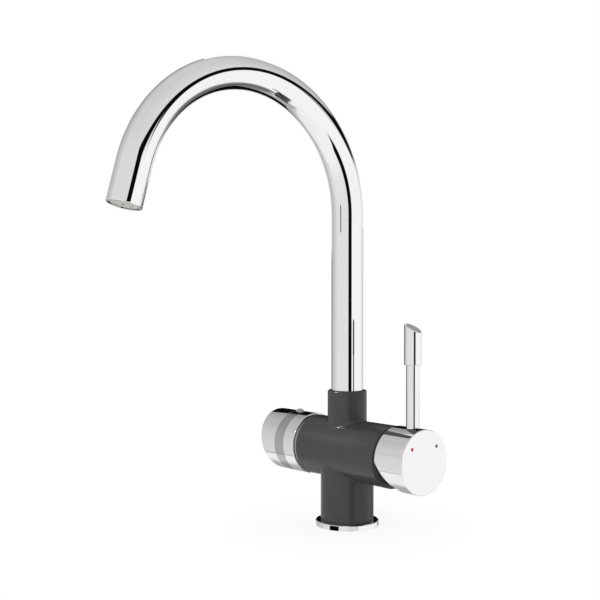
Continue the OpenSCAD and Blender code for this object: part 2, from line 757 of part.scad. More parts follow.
module filter_spindle() color(brass) difference() {
    union() {
        rod_x(valve_shoulder_x + free_gap, spindle_x, valve_chamber_r - free_gap);
        rod_x(clip_x - clip_t - free_gap, spindle_x, spindle_d / 2);
        on_axis(spindle_end_x)
            cylinder(r = spindle_d / 2, h = clip_x - spindle_end_x, $fn = spline_sides);
    }
    for (x = spindle_seal_places) on_axis(x - spindle_seal_t / 2 - fit_gap)
        ring(spindle_d, spindle_d / 2 - spindle_seal_t, spindle_seal_t + 2 * fit_gap);
    on_axis(clip_x - clip_t - fit_gap)
        ring(spindle_d, spindle_d / 2 - clip_depth, clip_t + 2 * fit_gap);
    rod_x(spindle_end_x - over, spindle_end_x + screw_reach, knob_screw_d / 2 + fit_gap);
}

module filter_turning_disc() color(ceramic) difference() {
    rod_x(turning_disc_x - filter_disc_t, turning_disc_x, valve_chamber_r - free_gap);
    translate([turning_disc_x - filter_disc_t / 2, -filter_port_z - filter_port_r,
               axis_z - filter_port_r])
        cube([filter_disc_t / 2 + over, 2 * (filter_port_z + filter_port_r), 2 * filter_port_r]);
}

module filter_spindle_o_rings() color(rubber)
    for (x = spindle_seal_places) on_axis(x) o_ring(spindle_d / 2, spindle_seal_t);

// Open clip in the spindle's groove
module filter_spindle_clip() color(steel) difference() {
    on_axis(clip_x - clip_t) ring(valve_neck_r, spindle_d / 2 - clip_depth + fit_gap, clip_t);
    translate([clip_x - clip_t - over, -spindle_d / 4, axis_z - block / 2])
        cube([clip_t + 2 * over, spindle_d / 2, block / 2]);
}

module filter_knob_screw() color(steel) difference() {
    union() {
        rod_x(hub_x - screw_head_t, hub_x, screw_head_r);
        rod_x(hub_x - over, spindle_end_x + screw_reach - over, knob_screw_d / 2);
    }
    on_axis(hub_x - screw_head_t - over)
        cylinder(r = screw_head_r / 2, h = screw_head_t / 2 + over, $fn = 6);
}

module mixer_rotor() color(resin) difference() {
    union() {
        rod_x(flange_x, flange_x + flange_t, flange_r);
        rod_x(flange_x, neck_end_x, neck_r);
        difference() {
            rod_x(prong_x, flange_x + over, flange_r);
            translate([prong_x - over, -prong_y, axis_z - block / 2])
                cube([flange_x - prong_x + over, 2 * prong_y, block]);
        }
    }
    translate([flange_x - over, -slot_w / 2, axis_z - slot_half])
        cube([flange_t + 2 * over, slot_w, 2 * slot_half]);
    translate([flange_x + flange_t, -slot_w / 2, axis_z - block / 2])
        cube([block, slot_w, block]);
    at_pivot() cylinder(d = pivot_pin_d + 2 * fit_gap, h = block, center = true);
}

module mixer_pivot_pin() color(steel) at_pivot()
    cylinder(d = pivot_pin_d, h = 2 * sqrt(pow(neck_r, 2) - pow(pivot_pin_d, 2)), center = true);

module mixer_stem() color(brass) difference() {
    union() {
        at_pivot() cylinder(r = stem_hub_r, h = blade_t, center = true);
        translate([pivot_x, -blade_t / 2, axis_z - blade_h / 2])
            cube([blade_end_x - pivot_x, blade_t, blade_h]);
        rod_x(ball_x, pivot_x, stem_arm_r);
        on_axis(ball_x) sphere(r = ball_r);
    }
    at_pivot() cylinder(d = pivot_pin_d + 2 * run_gap, h = block, center = true);
}

// Hollow cap whose lower rim is cut back, so that it can tilt toward the barrel
module mixer_cap() color(chrome) {
    cut_h = cap_r + over;
    difference() {
        rod_x(cap_x, face_x, cap_r);
        difference() {
            rod_x(cap_x - over, face_inner_x, cap_inner_r);
            rod_x(boss_x, face_x, boss_r);
        }
        rotate([90, 0, 0]) linear_extrude(height = block, center = true) polygon([
            [cap_x - over, axis_z], [cap_x, axis_z],
            [cap_x + cut_h * tan(cap_rim_slant), axis_z - cut_h], [cap_x - over, axis_z - cut_h]]);
        translate([boss_x - over, -blade_t / 2 - fit_gap, axis_z - blade_h / 2 - fit_gap])
            cube([blade_end_x + fit_gap - boss_x + over, blade_t + 2 * fit_gap,
                  blade_h + 2 * fit_gap]);
        translate([lever_x, 0, axis_z + cap_inner_r - over])
            cylinder(r = rod_spigot_r + fit_gap, h = block);
        translate([cap_screw_x, 0, axis_z - block])
            cylinder(d = cap_screw_d + 2 * fit_gap, h = block);
        for (side = [-1, 1]) drill_x(face_x - dot_t, face_x + over, side * dot_y, dot_z,
                                     dot_d / 2 + fit_gap);
    }
}

// Rod that sits on the cap's round top, with a spigot below and a tenon above
module lever_rod() color(chrome) {
    difference() {
        translate([lever_x, 0, axis_z + cap_inner_r])
            cylinder(d = rod_d, h = grip_z - axis_z - cap_inner_r);
        rod_x(cap_x, face_x + over, cap_r + fit_gap);
    }
    translate([lever_x, 0, axis_z + cap_inner_r]) cylinder(r = rod_spigot_r, h = cap_wall + over);
    translate([lever_x, 0, grip_z - over]) cylinder(r = tenon_r, h = tenon_len + over);
}

module lever_grip() color(chrome) difference() {
    translate([lever_x, 0, grip_z]) cylinder(d = grip_d, h = grip_len + grip_d);
    translate([lever_x, 0, grip_z - over])
        cylinder(r = tenon_r + fit_gap, h = tenon_len + fit_gap + over);
    translate([lever_x, 0, grip_top_z]) rotate([0, grip_slant, grip_turn])
        translate([-block / 2, -block / 2, 0]) cube(block);
}

// Set screw under the stem's blade
module cap_screw() color(steel)
    translate([cap_screw_x, 0, axis_z - blade_h / 2 - cap_screw_len - fit_gap]) difference() {
        cylinder(d = cap_screw_d, h = cap_screw_len);
        translate([0, 0, -over]) cylinder(d = cap_screw_d / 2, h = cap_screw_len / 2 + over, $fn = 6);
    }

module dot(side) drill_x(face_x - dot_t, face_x + dot_proud, side * dot_y, dot_z, dot_d / 2);

module hot_dot() color("red") dot(-1);

module cold_dot() color("blue") dot(1);

// Disc with a shallow mixing chamber on the side of the fixed disc
module mixer_moving_disc() color(ceramic) {
    chamber_high = inlet_port_z - port_d / 2 - free_gap;
    difference() {
        drill_x(moving_disc_x, coupler_x, 0, disc_rest_z, moving_disc_r);
        translate([moving_disc_x - over, -inlet_port_y, axis_z + mixed_port_low])
            cube([mixer_disc_t / 2 + over, 2 * inlet_port_y, chamber_high - mixed_port_low]);
    }
}

// Coupler that carries the stem's ball and slides between the rotor's prongs
module mixer_disc_coupler() color(resin) {
    pocket = 2 * (ball_r + free_gap);
    difference() {
        intersection() {
            drill_x(coupler_x, coupler_top_x, 0, disc_rest_z, moving_disc_r);
            translate([coupler_x - over, -coupler_y, axis_z - block / 2])
                cube([block, 2 * coupler_y, block]);
        }
        translate([ball_x - ball_r - ball_gap, -pocket / 2, axis_z - pocket / 2])
            cube([block, pocket, pocket]);
    }
}

body_casting();
base_ring();
base_gasket();
spout_thrust_washer();
spout_retaining_screw();
filter_tube_seal();
cartridge_housing();
cartridge_base_plate();
cartridge_port_seals();
mixer_fixed_disc();
cartridge_nut();
cartridge_bonnet();
filter_valve_body();
filter_flange_seal();
filter_seat_seal();
filter_fixed_disc();
spout_tube();
spout_spigot();
spout_o_rings();
filter_water_tube();
filter_nozzle();
aerator_housing();
aerator_insert();
aerator_screen();
aerator_seal();
filter_knob_skirt();
filter_knob_band();
filter_knob_end_cap();
filter_knob_pip();
filter_spindle();
filter_turning_disc();
filter_spindle_o_rings();
filter_spindle_clip();
filter_knob_screw();
mixer_rotor();
mixer_pivot_pin();
mixer_stem();
mixer_cap();
lever_rod();
lever_grip();
cap_screw();
hot_dot();
cold_dot();
mixer_moving_disc();
mixer_disc_coupler();
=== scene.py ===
"""Three-way drinking water filter tap: its visible pieces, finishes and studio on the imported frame."""

import json
import math

import bmesh
import bpy
from bpy.props import FloatProperty, FloatVectorProperty, IntProperty, PointerProperty
from mathutils import Matrix, Vector


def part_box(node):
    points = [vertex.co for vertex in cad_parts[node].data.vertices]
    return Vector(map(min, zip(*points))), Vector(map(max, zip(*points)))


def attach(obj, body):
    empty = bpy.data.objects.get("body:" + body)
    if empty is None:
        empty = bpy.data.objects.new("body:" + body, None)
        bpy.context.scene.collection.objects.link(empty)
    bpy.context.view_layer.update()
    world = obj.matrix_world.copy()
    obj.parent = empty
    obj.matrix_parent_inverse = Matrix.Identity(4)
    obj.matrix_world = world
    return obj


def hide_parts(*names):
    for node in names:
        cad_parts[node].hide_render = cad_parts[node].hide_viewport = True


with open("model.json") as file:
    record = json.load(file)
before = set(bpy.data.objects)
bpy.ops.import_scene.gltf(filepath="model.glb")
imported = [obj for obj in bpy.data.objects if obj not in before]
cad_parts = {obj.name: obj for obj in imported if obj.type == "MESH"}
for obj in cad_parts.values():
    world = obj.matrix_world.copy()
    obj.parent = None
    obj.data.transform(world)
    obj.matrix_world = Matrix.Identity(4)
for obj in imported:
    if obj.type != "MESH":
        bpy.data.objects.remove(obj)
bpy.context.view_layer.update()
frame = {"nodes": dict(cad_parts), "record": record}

bl_info = {
    "name": "Filter tap",
    "version": (1, 0, 0),
    "blender": (4, 5, 0),
    "location": "View3D > Sidebar > Tap",
    "description": "Builds the pieces, finishes and studio of a three-way filter tap",
    "category": "Add Mesh",
}

# Shapes are worked out in millimetres and stored in metres
MM = 0.001
X, Y, Z = range(3)


def low(node, axis):
    """Lowest coordinate of a CAD node along an axis, in millimetres."""
    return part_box(node)[0][axis] / MM


def high(node, axis):
    """Highest coordinate of a CAD node along an axis, in millimetres."""
    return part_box(node)[1][axis] / MM


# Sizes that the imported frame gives
AXIS_Z = (low("filter_knob_skirt", Z) + high("filter_knob_skirt", Z)) / 2
BARREL_R = high("body_casting", Y)
BARREL_LEFT = low("body_casting", X)
BARREL_RIGHT = high("body_casting", X)
COLLAR_TOP = high("body_casting", Z)
RING_R = high("base_ring", X)
RING_H = high("base_ring", Z)
TUBE_R = high("spout_tube", X)
TUBE_FOOT = low("spout_tube", Z)
KNOB_R = high("filter_knob_skirt", Y)
SKIRT_X = high("filter_knob_skirt", X)
BAND_X = high("filter_knob_band", X)
END_CAP_X = high("filter_knob_end_cap", X)
END_CAP_FAR = low("filter_knob_end_cap", X)
CAP_R = high("mixer_cap", Y)
CAP_X = low("mixer_cap", X)
FACE_X = high("mixer_cap", X)
LEVER_X = (low("lever_rod", X) + high("lever_rod", X)) / 2
ROD_R = high("lever_rod", Y)
GRIP_R = high("lever_grip", Y)
GRIP_Z = low("lever_grip", Z)
GRIP_TOP = high("lever_grip", Z)
TENON_TOP = high("lever_rod", Z)
BONNET_R = high("cartridge_bonnet", Y)
BONNET_X = low("cartridge_bonnet", X)
BONNET_END = high("cartridge_bonnet", X)
DOT_R = (high("hot_dot", Y) - low("hot_dot", Y)) / 2
DOT_Z = (low("hot_dot", Z) + high("hot_dot", Z)) / 2
PIP_R = high("filter_knob_pip", Y)
PIP_X = (low("filter_knob_pip", X) + high("filter_knob_pip", X)) / 2
PIP_TOP = high("filter_knob_pip", Z)

# Sizes inside the solids, as in the part's source
FIT = 0.05
COLUMN_R, COLLAR_R, FOOT_R = 21.0, 15.5, 18.0
TAPER_LEN, TAPER_DEPTH = 2.3, 0.6
TUBE_BORE = 11.0
BEND_START, BEND_R, BEND_SWEEP, OUTLET = 245.0, 99.0, math.radians(164.3), 29.7
KNOB_SLANT = math.tan(math.radians(13.0))
RIM_SLANT = math.tan(math.radians(31.4))
GRIP_SLANT, GRIP_TURN = math.tan(math.radians(28.5)), math.radians(15)
PIVOT_X = BARREL_RIGHT - 1.0
BOSS_X = PIVOT_X + 17.5
CAP_INSIDE, CAP_WALL = FACE_X - 3.0, 3.3
LEVER_FOOT_R, TENON_R = 3.0, 4.0
DOT_Y, DOT_DEPTH = 13.0, 0.8

# Bores of the body: where each starts, then the radius and the far end of each of its steps
MIXER_BORE = (BARREL_RIGHT - 29.45, (17.55, BARREL_RIGHT - 8.0), (20.45, BARREL_RIGHT + 3))
VALVE_BORE = (BARREL_LEFT - 2, (9.25, -15.0))
SOCKET_BORE = (71, (4.3, 77), (5.25, 80), (10, 97), (12.8, 106.4))
SOCKET_MOUTH = [(13.2, 107.2), (13.2, 110), (0, 110)]
SCREW_BORE, SCREW_Z = (9, (2.05, 20)), 88.5

# Threads in the foot: crest radius, depth, pitch, length, and radius of the plain bore above
STUD_THREAD = (3.4, 0.6, 1.25, 15, 0)
INLET_THREAD = (4.5, 0.5, 1.0, 12, 4.0)
# Inlets: x, y and the top of the bore
INLETS = ((5.0, -8.66, 65.0), (5.0, 8.66, 65.0), (-10.0, 0.0, 55.0))


# ---------------- shapes


def swing(first, last, share, turn):
    """Arm at a share of the turn from the first arm to the last."""
    return (first * math.sin((1 - share) * turn) + last * math.sin(share * turn)) / math.sin(turn)


def rounded(corners, steps=6, guard=0.15, loop=False):
    """Outline through (u, v, rounding) corners, with a guard point on either side of each arc."""
    outline = []
    for i, (u, v, radius) in enumerate(corners):
        here = Vector((u, v))
        if radius <= 0 or (not loop and i in (0, len(corners) - 1)):
            outline.append(here)
            continue
        back = Vector(corners[i - 1][:2]) - here
        ahead = Vector(corners[(i + 1) % len(corners)][:2]) - here
        half = back.angle(ahead) / 2
        reach = radius / math.tan(half)
        before, after = (reach + min(guard, 0.4 * (arm.length - reach)) for arm in (back, ahead))
        back.normalize()
        ahead.normalize()
        centre = here + (back + ahead).normalized() * (radius / math.sin(half))
        first, last = here + back * reach - centre, here + ahead * reach - centre
        outline.append(here + back * before)
        outline += [centre + swing(first, last, k / steps, math.pi - 2 * half) for k in range(steps + 1)]
        outline.append(here + ahead * after)
    return outline


def stepped(start, *steps):
    """Outline of a stepped bore from its start on, by the radius and the far end of each step."""
    outline = [(0, start)]
    for radius, end in steps:
        outline += [(radius, outline[-1][1]), (radius, end)]
    return outline + [(0, outline[-1][1])]


def lying(y, z):
    """Place of a point at radius r about an axis along X through y and z, with h along it."""
    return lambda r, h, turn: Vector((h, y + r * math.cos(turn), z + r * math.sin(turn)))


def upright(r, h, turn):
    """Point at radius r about the column's axis, at height h."""
    return Vector((r * math.cos(turn), r * math.sin(turn), h))


def standing(x, y=0):
    """Place of a point at radius r about an upright axis through x and y, at height h."""
    return lambda r, h, turn: Vector((x, y, 0)) + upright(r, h, turn)


on_barrel, on_lever, on_pip = lying(0, AXIS_Z), standing(LEVER_X), standing(PIP_X)


def along_spout(turn):
    """Centre, outward direction and heading of the gooseneck at an angle of its bend."""
    outward = Vector((0, math.cos(turn), math.sin(turn)))
    heading = Vector((0, -math.sin(turn), math.cos(turn)))
    return Vector((0, -BEND_R, BEND_START)) + outward * BEND_R, outward, heading


def outlet_frame():
    """Matrix that takes the axis Z to the stream, with its origin at the spout's end, in metres."""
    centre, outward, heading = along_spout(BEND_SWEEP)
    end = (centre + heading * OUTLET) * MM
    side = outward.cross(heading)
    return Matrix.Translation(end) @ Matrix((side, outward, heading)).transposed().to_4x4()


def turned(outline, place, count=128):
    """Rows of points of an outline that is turned about an axis; outline may depend on the angle."""
    turns = [2 * math.pi * i / count for i in range(count)]
    shape = outline if callable(outline) else lambda turn: outline
    rows = [list(row) for row in zip(*[[place(r, h, t) for r, h in shape(t)] for t in turns])]
    return [row[:1] if (row[0] - row[count // 2]).length < 1e-6 else row for row in rows]


def weave(bm, rows, loop=False, wrap=True):
    """Adds the faces between rows of points; a row of one point is a pole."""
    made = [[bm.verts.new(point * MM) for point in row] for row in rows]
    for one, two in list(zip(made, made[1:])) + ([(made[-1], made[0])] if loop else []):
        count = max(len(one), len(two))
        for i in range(count if wrap else count - 1):
            j = (i + 1) % count
            corners = [one[i % len(one)], one[j % len(one)], two[j % len(two)], two[i % len(two)]]
            corners = list(dict.fromkeys(corners))
            if len(corners) > 2:
                bm.faces.new(corners)


def close(bm, name):
    """Joins the seams of a shape, turns its faces outwards and tests that it is closed."""
    bmesh.ops.remove_doubles(bm, verts=bm.verts, dist=1e-6)
    bmesh.ops.dissolve_degenerate(bm, edges=bm.edges, dist=1e-7)
    bmesh.ops.recalc_face_normals(bm, faces=bm.faces)
    if any(not edge.is_manifold for edge in bm.edges):
        raise RuntimeError(f"{name} isn't closed")


def added(name, data):
    """New object in the scene."""
    made = bpy.data.objects.new(name, data)
    bpy.context.scene.collection.objects.link(made)
    return made


def to_object(bm, name):
    """New object with this shape."""
    mesh = bpy.data.meshes.new(name)
    bm.to_mesh(mesh)
    bm.free()
    older = bpy.data.objects.get(name)
    if older:
        bpy.data.objects.remove(older)
    return added(name, mesh)


def turned_piece(name, outline, place, count=128, loop=False):
    """Closed turned object."""
    bm = bmesh.new()
    weave(bm, turned(outline, place, count), loop)
    close(bm, name)
    return to_object(bm, name)


def evaluated_mesh(made):
    """Swaps an object's mesh for what its modifiers make of it, and removes them."""
    graph = bpy.context.evaluated_depsgraph_get()
    mesh = bpy.data.meshes.new_from_object(made.evaluated_get(graph))
    made.modifiers.clear()
    older = made.data
    made.data = mesh
    bpy.data.meshes.remove(older)


def cut(made, *tools):
    """Cuts closed tools out of a piece, one after the other."""
    for tool in tools:
        cutting = made.modifiers.new("Cut", "BOOLEAN")
        cutting.operation = "DIFFERENCE"
        cutting.solver = "EXACT"
        cutting.object = tool
        evaluated_mesh(made)
        bpy.data.objects.remove(tool)
    bm = bmesh.new()
    bm.from_mesh(made.data)
    bmesh.ops.remove_doubles(bm, verts=bm.verts, dist=1e-6)
    bm.to_mesh(made.data)
    bm.free()


def dress(made, material, body, slot, *nodes, crease=38):
    """Smooths a piece, gives it its finish and ties it to the frame."""
    made.data.shade_smooth()
    made.data.set_sharp_from_angle(angle=math.radians(crease))
    made.data.materials.clear()
    made.data.materials.append(material)
    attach(made, body)
    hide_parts(*nodes)


# ---------------- finishes


def bare_tree(owner):
    """Emptied node tree of a material or a world."""
    owner.use_nodes = True
    owner.node_tree.nodes.clear()
    return owner.node_tree


def node(tree, kind, inputs=None, **settings):
    """Adds a node; an input takes a value or the socket that feeds it."""
    made = tree.nodes.new(kind)
    for key, value in settings.items():
        setattr(made, key, value)
    for key, value in (inputs or {}).items():
        if isinstance(value, bpy.types.NodeSocket):
            tree.links.new(value, made.inputs[key])
        else:
            made.inputs[key].default_value = value
    return made


def maths(tree, operation, *values):
    """Result of a sum on values or sockets."""
    return node(tree, "ShaderNodeMath", dict(enumerate(values)), operation=operation).outputs[0]


def remap(tree, value, start, end, first=0.0, last=1.0, way="LINEAR"):
    """Value that goes from first to last while another goes from start to end."""
    return node(tree, "ShaderNodeMapRange", {
        "Value": value, "From Min": start, "From Max": end, "To Min": first, "To Max": last},
        interpolation_type=way).outputs[0]


def mixed(tree, share, one, two):
    """Mix of two values."""
    return node(tree, "ShaderNodeMix", {0: share, 2: one, 3: two}, data_type="FLOAT").outputs[0]


def mixed_colour(tree, share, one, two):
    """Mix of two colours."""
    return node(tree, "ShaderNodeMix", {0: share, 6: one, 7: two}, data_type="RGBA").outputs[2]


def group_tree(name, takes, gives):
    """New shader node group with named sockets, its inputs and the input of its one result."""
    tree = bpy.data.node_groups.new(name, "ShaderNodeTree")
    for label, value in takes.items():
        made = tree.interface.new_socket(label, in_out="INPUT", socket_type="NodeSocketFloat")
        made.default_value = value
    tree.interface.new_socket(gives, in_out="OUTPUT", socket_type="NodeSocketFloat")
    return tree, node(tree, "NodeGroupInput").outputs, node(tree, "NodeGroupOutput").inputs[gives]


def fine_grain():
    """Group for the fine unevenness of paint, plating and moulded surfaces."""
    if "Fine grain" in bpy.data.node_groups:
        return bpy.data.node_groups["Fine grain"]
    tree, takes, height = group_tree(
        "Fine grain", {"Grain size": 0.0006, "Stretch along X": 1.0, "Stretch along Z": 1.0}, "Height")
    place = node(tree, "ShaderNodeTexCoord").outputs["Object"]
    scale, along_x, along_z = (maths(tree, "DIVIDE", 1.0, takes[label]) for label in (
        "Grain size", "Stretch along X", "Stretch along Z"))
    stretch = node(tree, "ShaderNodeCombineXYZ", {"X": along_x, "Y": 1.0, "Z": along_z}).outputs[0]
    place = node(tree, "ShaderNodeVectorMath", {0: place, 1: stretch}, operation="MULTIPLY").outputs[0]
    noise = node(tree, "ShaderNodeTexNoise", {
        "Vector": place, "Scale": scale, "Detail": 2.0, "Roughness": 0.5})
    tree.links.new(noise.outputs[0], height)
    return tree


def handling_marks():
    """Group for the broad, faint marks of wiping and use."""
    if "Handling marks" in bpy.data.node_groups:
        return bpy.data.node_groups["Handling marks"]
    tree, takes, mask = group_tree("Handling marks", {"Mark size": 0.02, "From": 0.4, "To": 0.7}, "Mask")
    noise = node(tree, "ShaderNodeTexNoise", {
        "Vector": node(tree, "ShaderNodeTexCoord").outputs["Object"],
        "Scale": maths(tree, "DIVIDE", 1.0, takes["Mark size"]),
        "Detail": 4.0, "Roughness": 0.6, "Distortion": 0.4})
    marks = remap(tree, noise.outputs[0], takes["From"], takes["To"], way="SMOOTHSTEP")
    tree.links.new(marks, mask)
    return tree


def finish(name, tone, rough, metallic=0.0, spread=0.04, tint=0.94, grain=0.0006, stretch=(1.0, 1.0),
           bump=0.05, marks=0.02, painted_reflection_share=1.0, level=0.5):
    """Material whose colour and gloss vary with handling marks and whose surface has a fine grain.

    Other glossy surfaces see its colour times the reflection share, as painted shade in its reflections;
    level is its specular level.
    """
    if name in bpy.data.materials:
        return bpy.data.materials[name]
    made = bpy.data.materials.new(name)
    tree = bare_tree(made)
    plain, worn, painted_reflection_colour = ((*(part * share for part in tone), 1) for share in (1.0, tint, painted_reflection_share))
    mask = node(tree, "ShaderNodeGroup", {"Mark size": marks}, node_tree=handling_marks()).outputs["Mask"]
    height = node(tree, "ShaderNodeGroup", {
        "Grain size": grain, "Stretch along X": stretch[0], "Stretch along Z": stretch[1]},
        node_tree=fine_grain()).outputs["Height"]
    # Painted shade: glossy rays get the colour scaled down, so its reflections in other surfaces are darker
    in_mirror = node(tree, "ShaderNodeLightPath").outputs["Is Glossy Ray"]
    shown = mixed_colour(tree, in_mirror, mixed_colour(tree, mask, plain, worn), painted_reflection_colour)
    relief = node(tree, "ShaderNodeBump", {"Strength": bump, "Distance": grain / 4, "Height": height})
    skin = node(tree, "ShaderNodeBsdfPrincipled", {
        "Base Color": shown, "Roughness": remap(tree, mask, 0, 1, rough, rough + spread),
        "Normal": relief.outputs[0], "Metallic": metallic, "Specular IOR Level": level})
    node(tree, "ShaderNodeOutputMaterial", {"Surface": skin.outputs[0]})
    return made


def chrome(look):
    """Polished chrome plate."""
    # Painted shade: other chrome shows this plate at 0.12 of its colour, as dark reflections
    return finish("Chrome plate", look.chrome, look.chrome_rough, metallic=1.0, spread=0.01, tint=0.985,
                  grain=0.004, bump=0.0012, marks=0.03, painted_reflection_share=0.12)


def body_paint(look):
    """Satin anthracite coating with a slight orange peel."""
    return finish("Anthracite coating", look.paint, look.paint_rough, spread=0.04, tint=0.95,
                  grain=0.0007, bump=0.02, marks=0.03, level=0.28)


def painted_taper_highlight(material, limit, top, fade, tone):
    """Painted highlight on the turned edge where x is below the limit, beside the knob: a pale tone in the
    coating that fades out toward its top.
    """
    tree = material.node_tree
    shader = next(item for item in tree.nodes if item.type == "BSDF_PRINCIPLED")
    place = node(tree, "ShaderNodeTexCoord").outputs["Object"]
    along, _, height = node(tree, "ShaderNodeSeparateXYZ", {0: place}).outputs
    below = remap(tree, height, top, top - fade)
    # Mask of the painted highlight on the taper
    edge = maths(tree, "MULTIPLY", maths(tree, "LESS_THAN", along, limit), below)
    coated = shader.inputs["Base Color"].links[0].from_socket
    tree.links.new(mixed_colour(tree, edge, coated, (tone, tone, tone, 1)), shader.inputs["Base Color"])


def satin_band(look):
    """Satin metal band, finely brushed around."""
    # Painted shade: chrome shows the band at 0.2 of its colour, as dark reflections
    return finish("Satin metal", look.band, 0.09, metallic=1.0, spread=0.03, tint=0.97, grain=0.0003,
                  stretch=(0.3, 1.0), bump=0.01, painted_reflection_share=0.2)


def moulded_resin(look):
    """Pale moulded resin with a fine sparked texture."""
    return finish("Moulded resin", look.resin, 0.38, spread=0.10, tint=0.95, grain=0.0005, bump=0.10)


def inner_finishes(look):
    """Finish of each record slot that only CAD nodes use."""
    return {
        "brass": finish("Turned brass", (0.72, 0.50, 0.20), 0.22, metallic=1.0, spread=0.12, tint=0.86,
                        grain=0.0004, stretch=(0.4, 0.4), bump=0.10),
        "steel": finish("Machined steel", (0.58, 0.58, 0.57), 0.24, metallic=1.0, spread=0.12, tint=0.9,
                        grain=0.0003, stretch=(1.0, 4.0), bump=0.10),
        "rubber": finish("Black rubber", (0.022, 0.022, 0.022), 0.62, spread=0.12, tint=0.8, grain=0.0005,
                         bump=0.18),
        "ceramic": finish("Lapped ceramic", (0.82, 0.80, 0.74), 0.10, spread=0.08, tint=0.97, grain=0.0004,
                          bump=0.03),
        "resin": moulded_resin(look),
        "chrome": chrome(look),
    }


# ---------------- settings


def length(label, note, value):
    """Length setting, given in millimetres."""
    return FloatProperty(name=label, description=note, default=value * MM, min=0.0, unit="LENGTH",
                         precision=5)


def colour(label, note, value):
    """Colour setting."""
    return FloatVectorProperty(name=label, description=note, default=value, min=0.0, max=1.0, size=3,
                               subtype="COLOR")


def factor(label, note, value):
    """Setting between 0 and 1."""
    return FloatProperty(name=label, description=note, default=value, min=0.0, max=1.0, subtype="FACTOR")


def angle(label, note, value):
    """Angle setting, given in degrees."""
    return FloatProperty(name=label, description=note, default=math.radians(value), subtype="ANGLE")


def power(label, note, value):
    """Setting of a lamp's power."""
    return FloatProperty(name=label, description=note, default=value, min=0.0, subtype="POWER")


class TapFinishes(bpy.types.PropertyGroup):
    """Colours and gloss of the visible finishes."""
    paint: colour("Body", "Colour of the coated body", (0.052, 0.052, 0.053))
    paint_rough: factor("Body roughness", "Roughness of the coated body", 0.24)
    chrome: colour("Chrome", "Colour of the chrome plate", (0.93, 0.93, 0.93))
    chrome_rough: factor("Chrome roughness", "Roughness of the chrome plate", 0.012)
    band: colour("Band", "Colour of the knob's band", (0.53, 0.53, 0.53))
    pip: colour("Pip", "Colour of the knob's pip", (0.34, 0.34, 0.34))
    hot: colour("Hot", "Colour of the hot dot", (0.56, 0.035, 0.035))
    cold: colour("Cold", "Colour of the cold dot", (0.03, 0.10, 0.12))
    resin: colour("Resin", "Colour of the moulded pieces", (0.72, 0.72, 0.68))


class BodySizes(bpy.types.PropertyGroup):
    """Roundings of the body and the base ring."""
    collar_fillet: length("Collar fillet", "Rounding between barrel and collar", 2.4)
    column_fillet: length("Column fillet", "Rounding between barrel and column", 1.2)
    rebate: length("Rebate", "Width of the rebate around the barrel's end behind the cap", 1.5)
    rebate_depth: length("Rebate depth", "Depth of that rebate", 1.3)
    collar_round: length("Collar edge", "Rounding of the collar's top edge", 1.2)
    edge_round: length("Edges", "Rounding of the base ring's chamfer", 0.25)


class SpoutSizes(bpy.types.PropertyGroup):
    """Roundings and fineness of the spout, and the aerator's openings."""
    lip_round: length("Lip", "Rounding of the spout's end", 0.45)
    around: IntProperty(name="Around", description="Faces around the spout", default=112, min=24)
    along: IntProperty(name="Along", description="Faces along the spout's bend", default=150, min=24)
    openings: IntProperty(name="Openings", description="Openings in the aerator's insert", default=14,
                          min=6)
    opening_r: length("Opening", "Radius of an opening in the aerator's insert", 1.04)


class KnobSizes(bpy.types.PropertyGroup):
    """Roundings of the filter knob."""
    edge_round: length("Edges", "Rounding of the skirt's and the band's edges", 0.12)
    lip_round: length("Lip", "Rounding of the skirt's edge beside the barrel", 0.6)
    face_round: length("Face edge", "Rounding around the slanted face", 0.5)


class MixerSizes(bpy.types.PropertyGroup):
    """Roundings of the mixer cap and its lever."""
    cap_round: length("Cap edge", "Rounding around the cap's face", 0.6)
    rim_round: length("Cap rim", "Rounding of the cap's rim", 0.3)
    grip_round: length("Grip edge", "Rounding around the grip's slanted top", 1.1)


class StageSettings(bpy.types.PropertyGroup):
    """Camera and light."""
    azimuth: angle("Azimuth", "Direction from the tap to the camera, from -Y toward +X", 49.652)
    pitch: angle("Pitch", "Downward tilt of the camera", 0.926)
    distance: length("Distance", "Distance from the tap's axis to the camera", 804.188)
    height: length("Height", "Height of the camera above the worktop", 191.293)
    side: FloatProperty(name="Side step", description="Sideways shift of the camera, to its right",
                        default=-0.03747, unit="LENGTH")
    lens: FloatProperty(name="Lens", description="Focal length in millimetres", default=60.867, min=1.0)
    fill: FloatProperty(name="Soft fill", description="World light on matt surfaces", default=0.45, min=0.0)
    lamp: power("Lamp", "Power of the soft lamp at the camera's left", 13.0)
    rear: power("Rear lamp", "Power of the soft lamp behind the tap", 9.0)
    key: power("Key lamp", "Power of the small lamp that glints on the collar", 110.0)


class TapSettings(bpy.types.PropertyGroup):
    """All settings of the tap."""
    finishes: PointerProperty(type=TapFinishes)
    body: PointerProperty(type=BodySizes)
    spout: PointerProperty(type=SpoutSizes)
    knob: PointerProperty(type=KnobSizes)
    mixer: PointerProperty(type=MixerSizes)
    stage: PointerProperty(type=StageSettings)


# ---------------- body


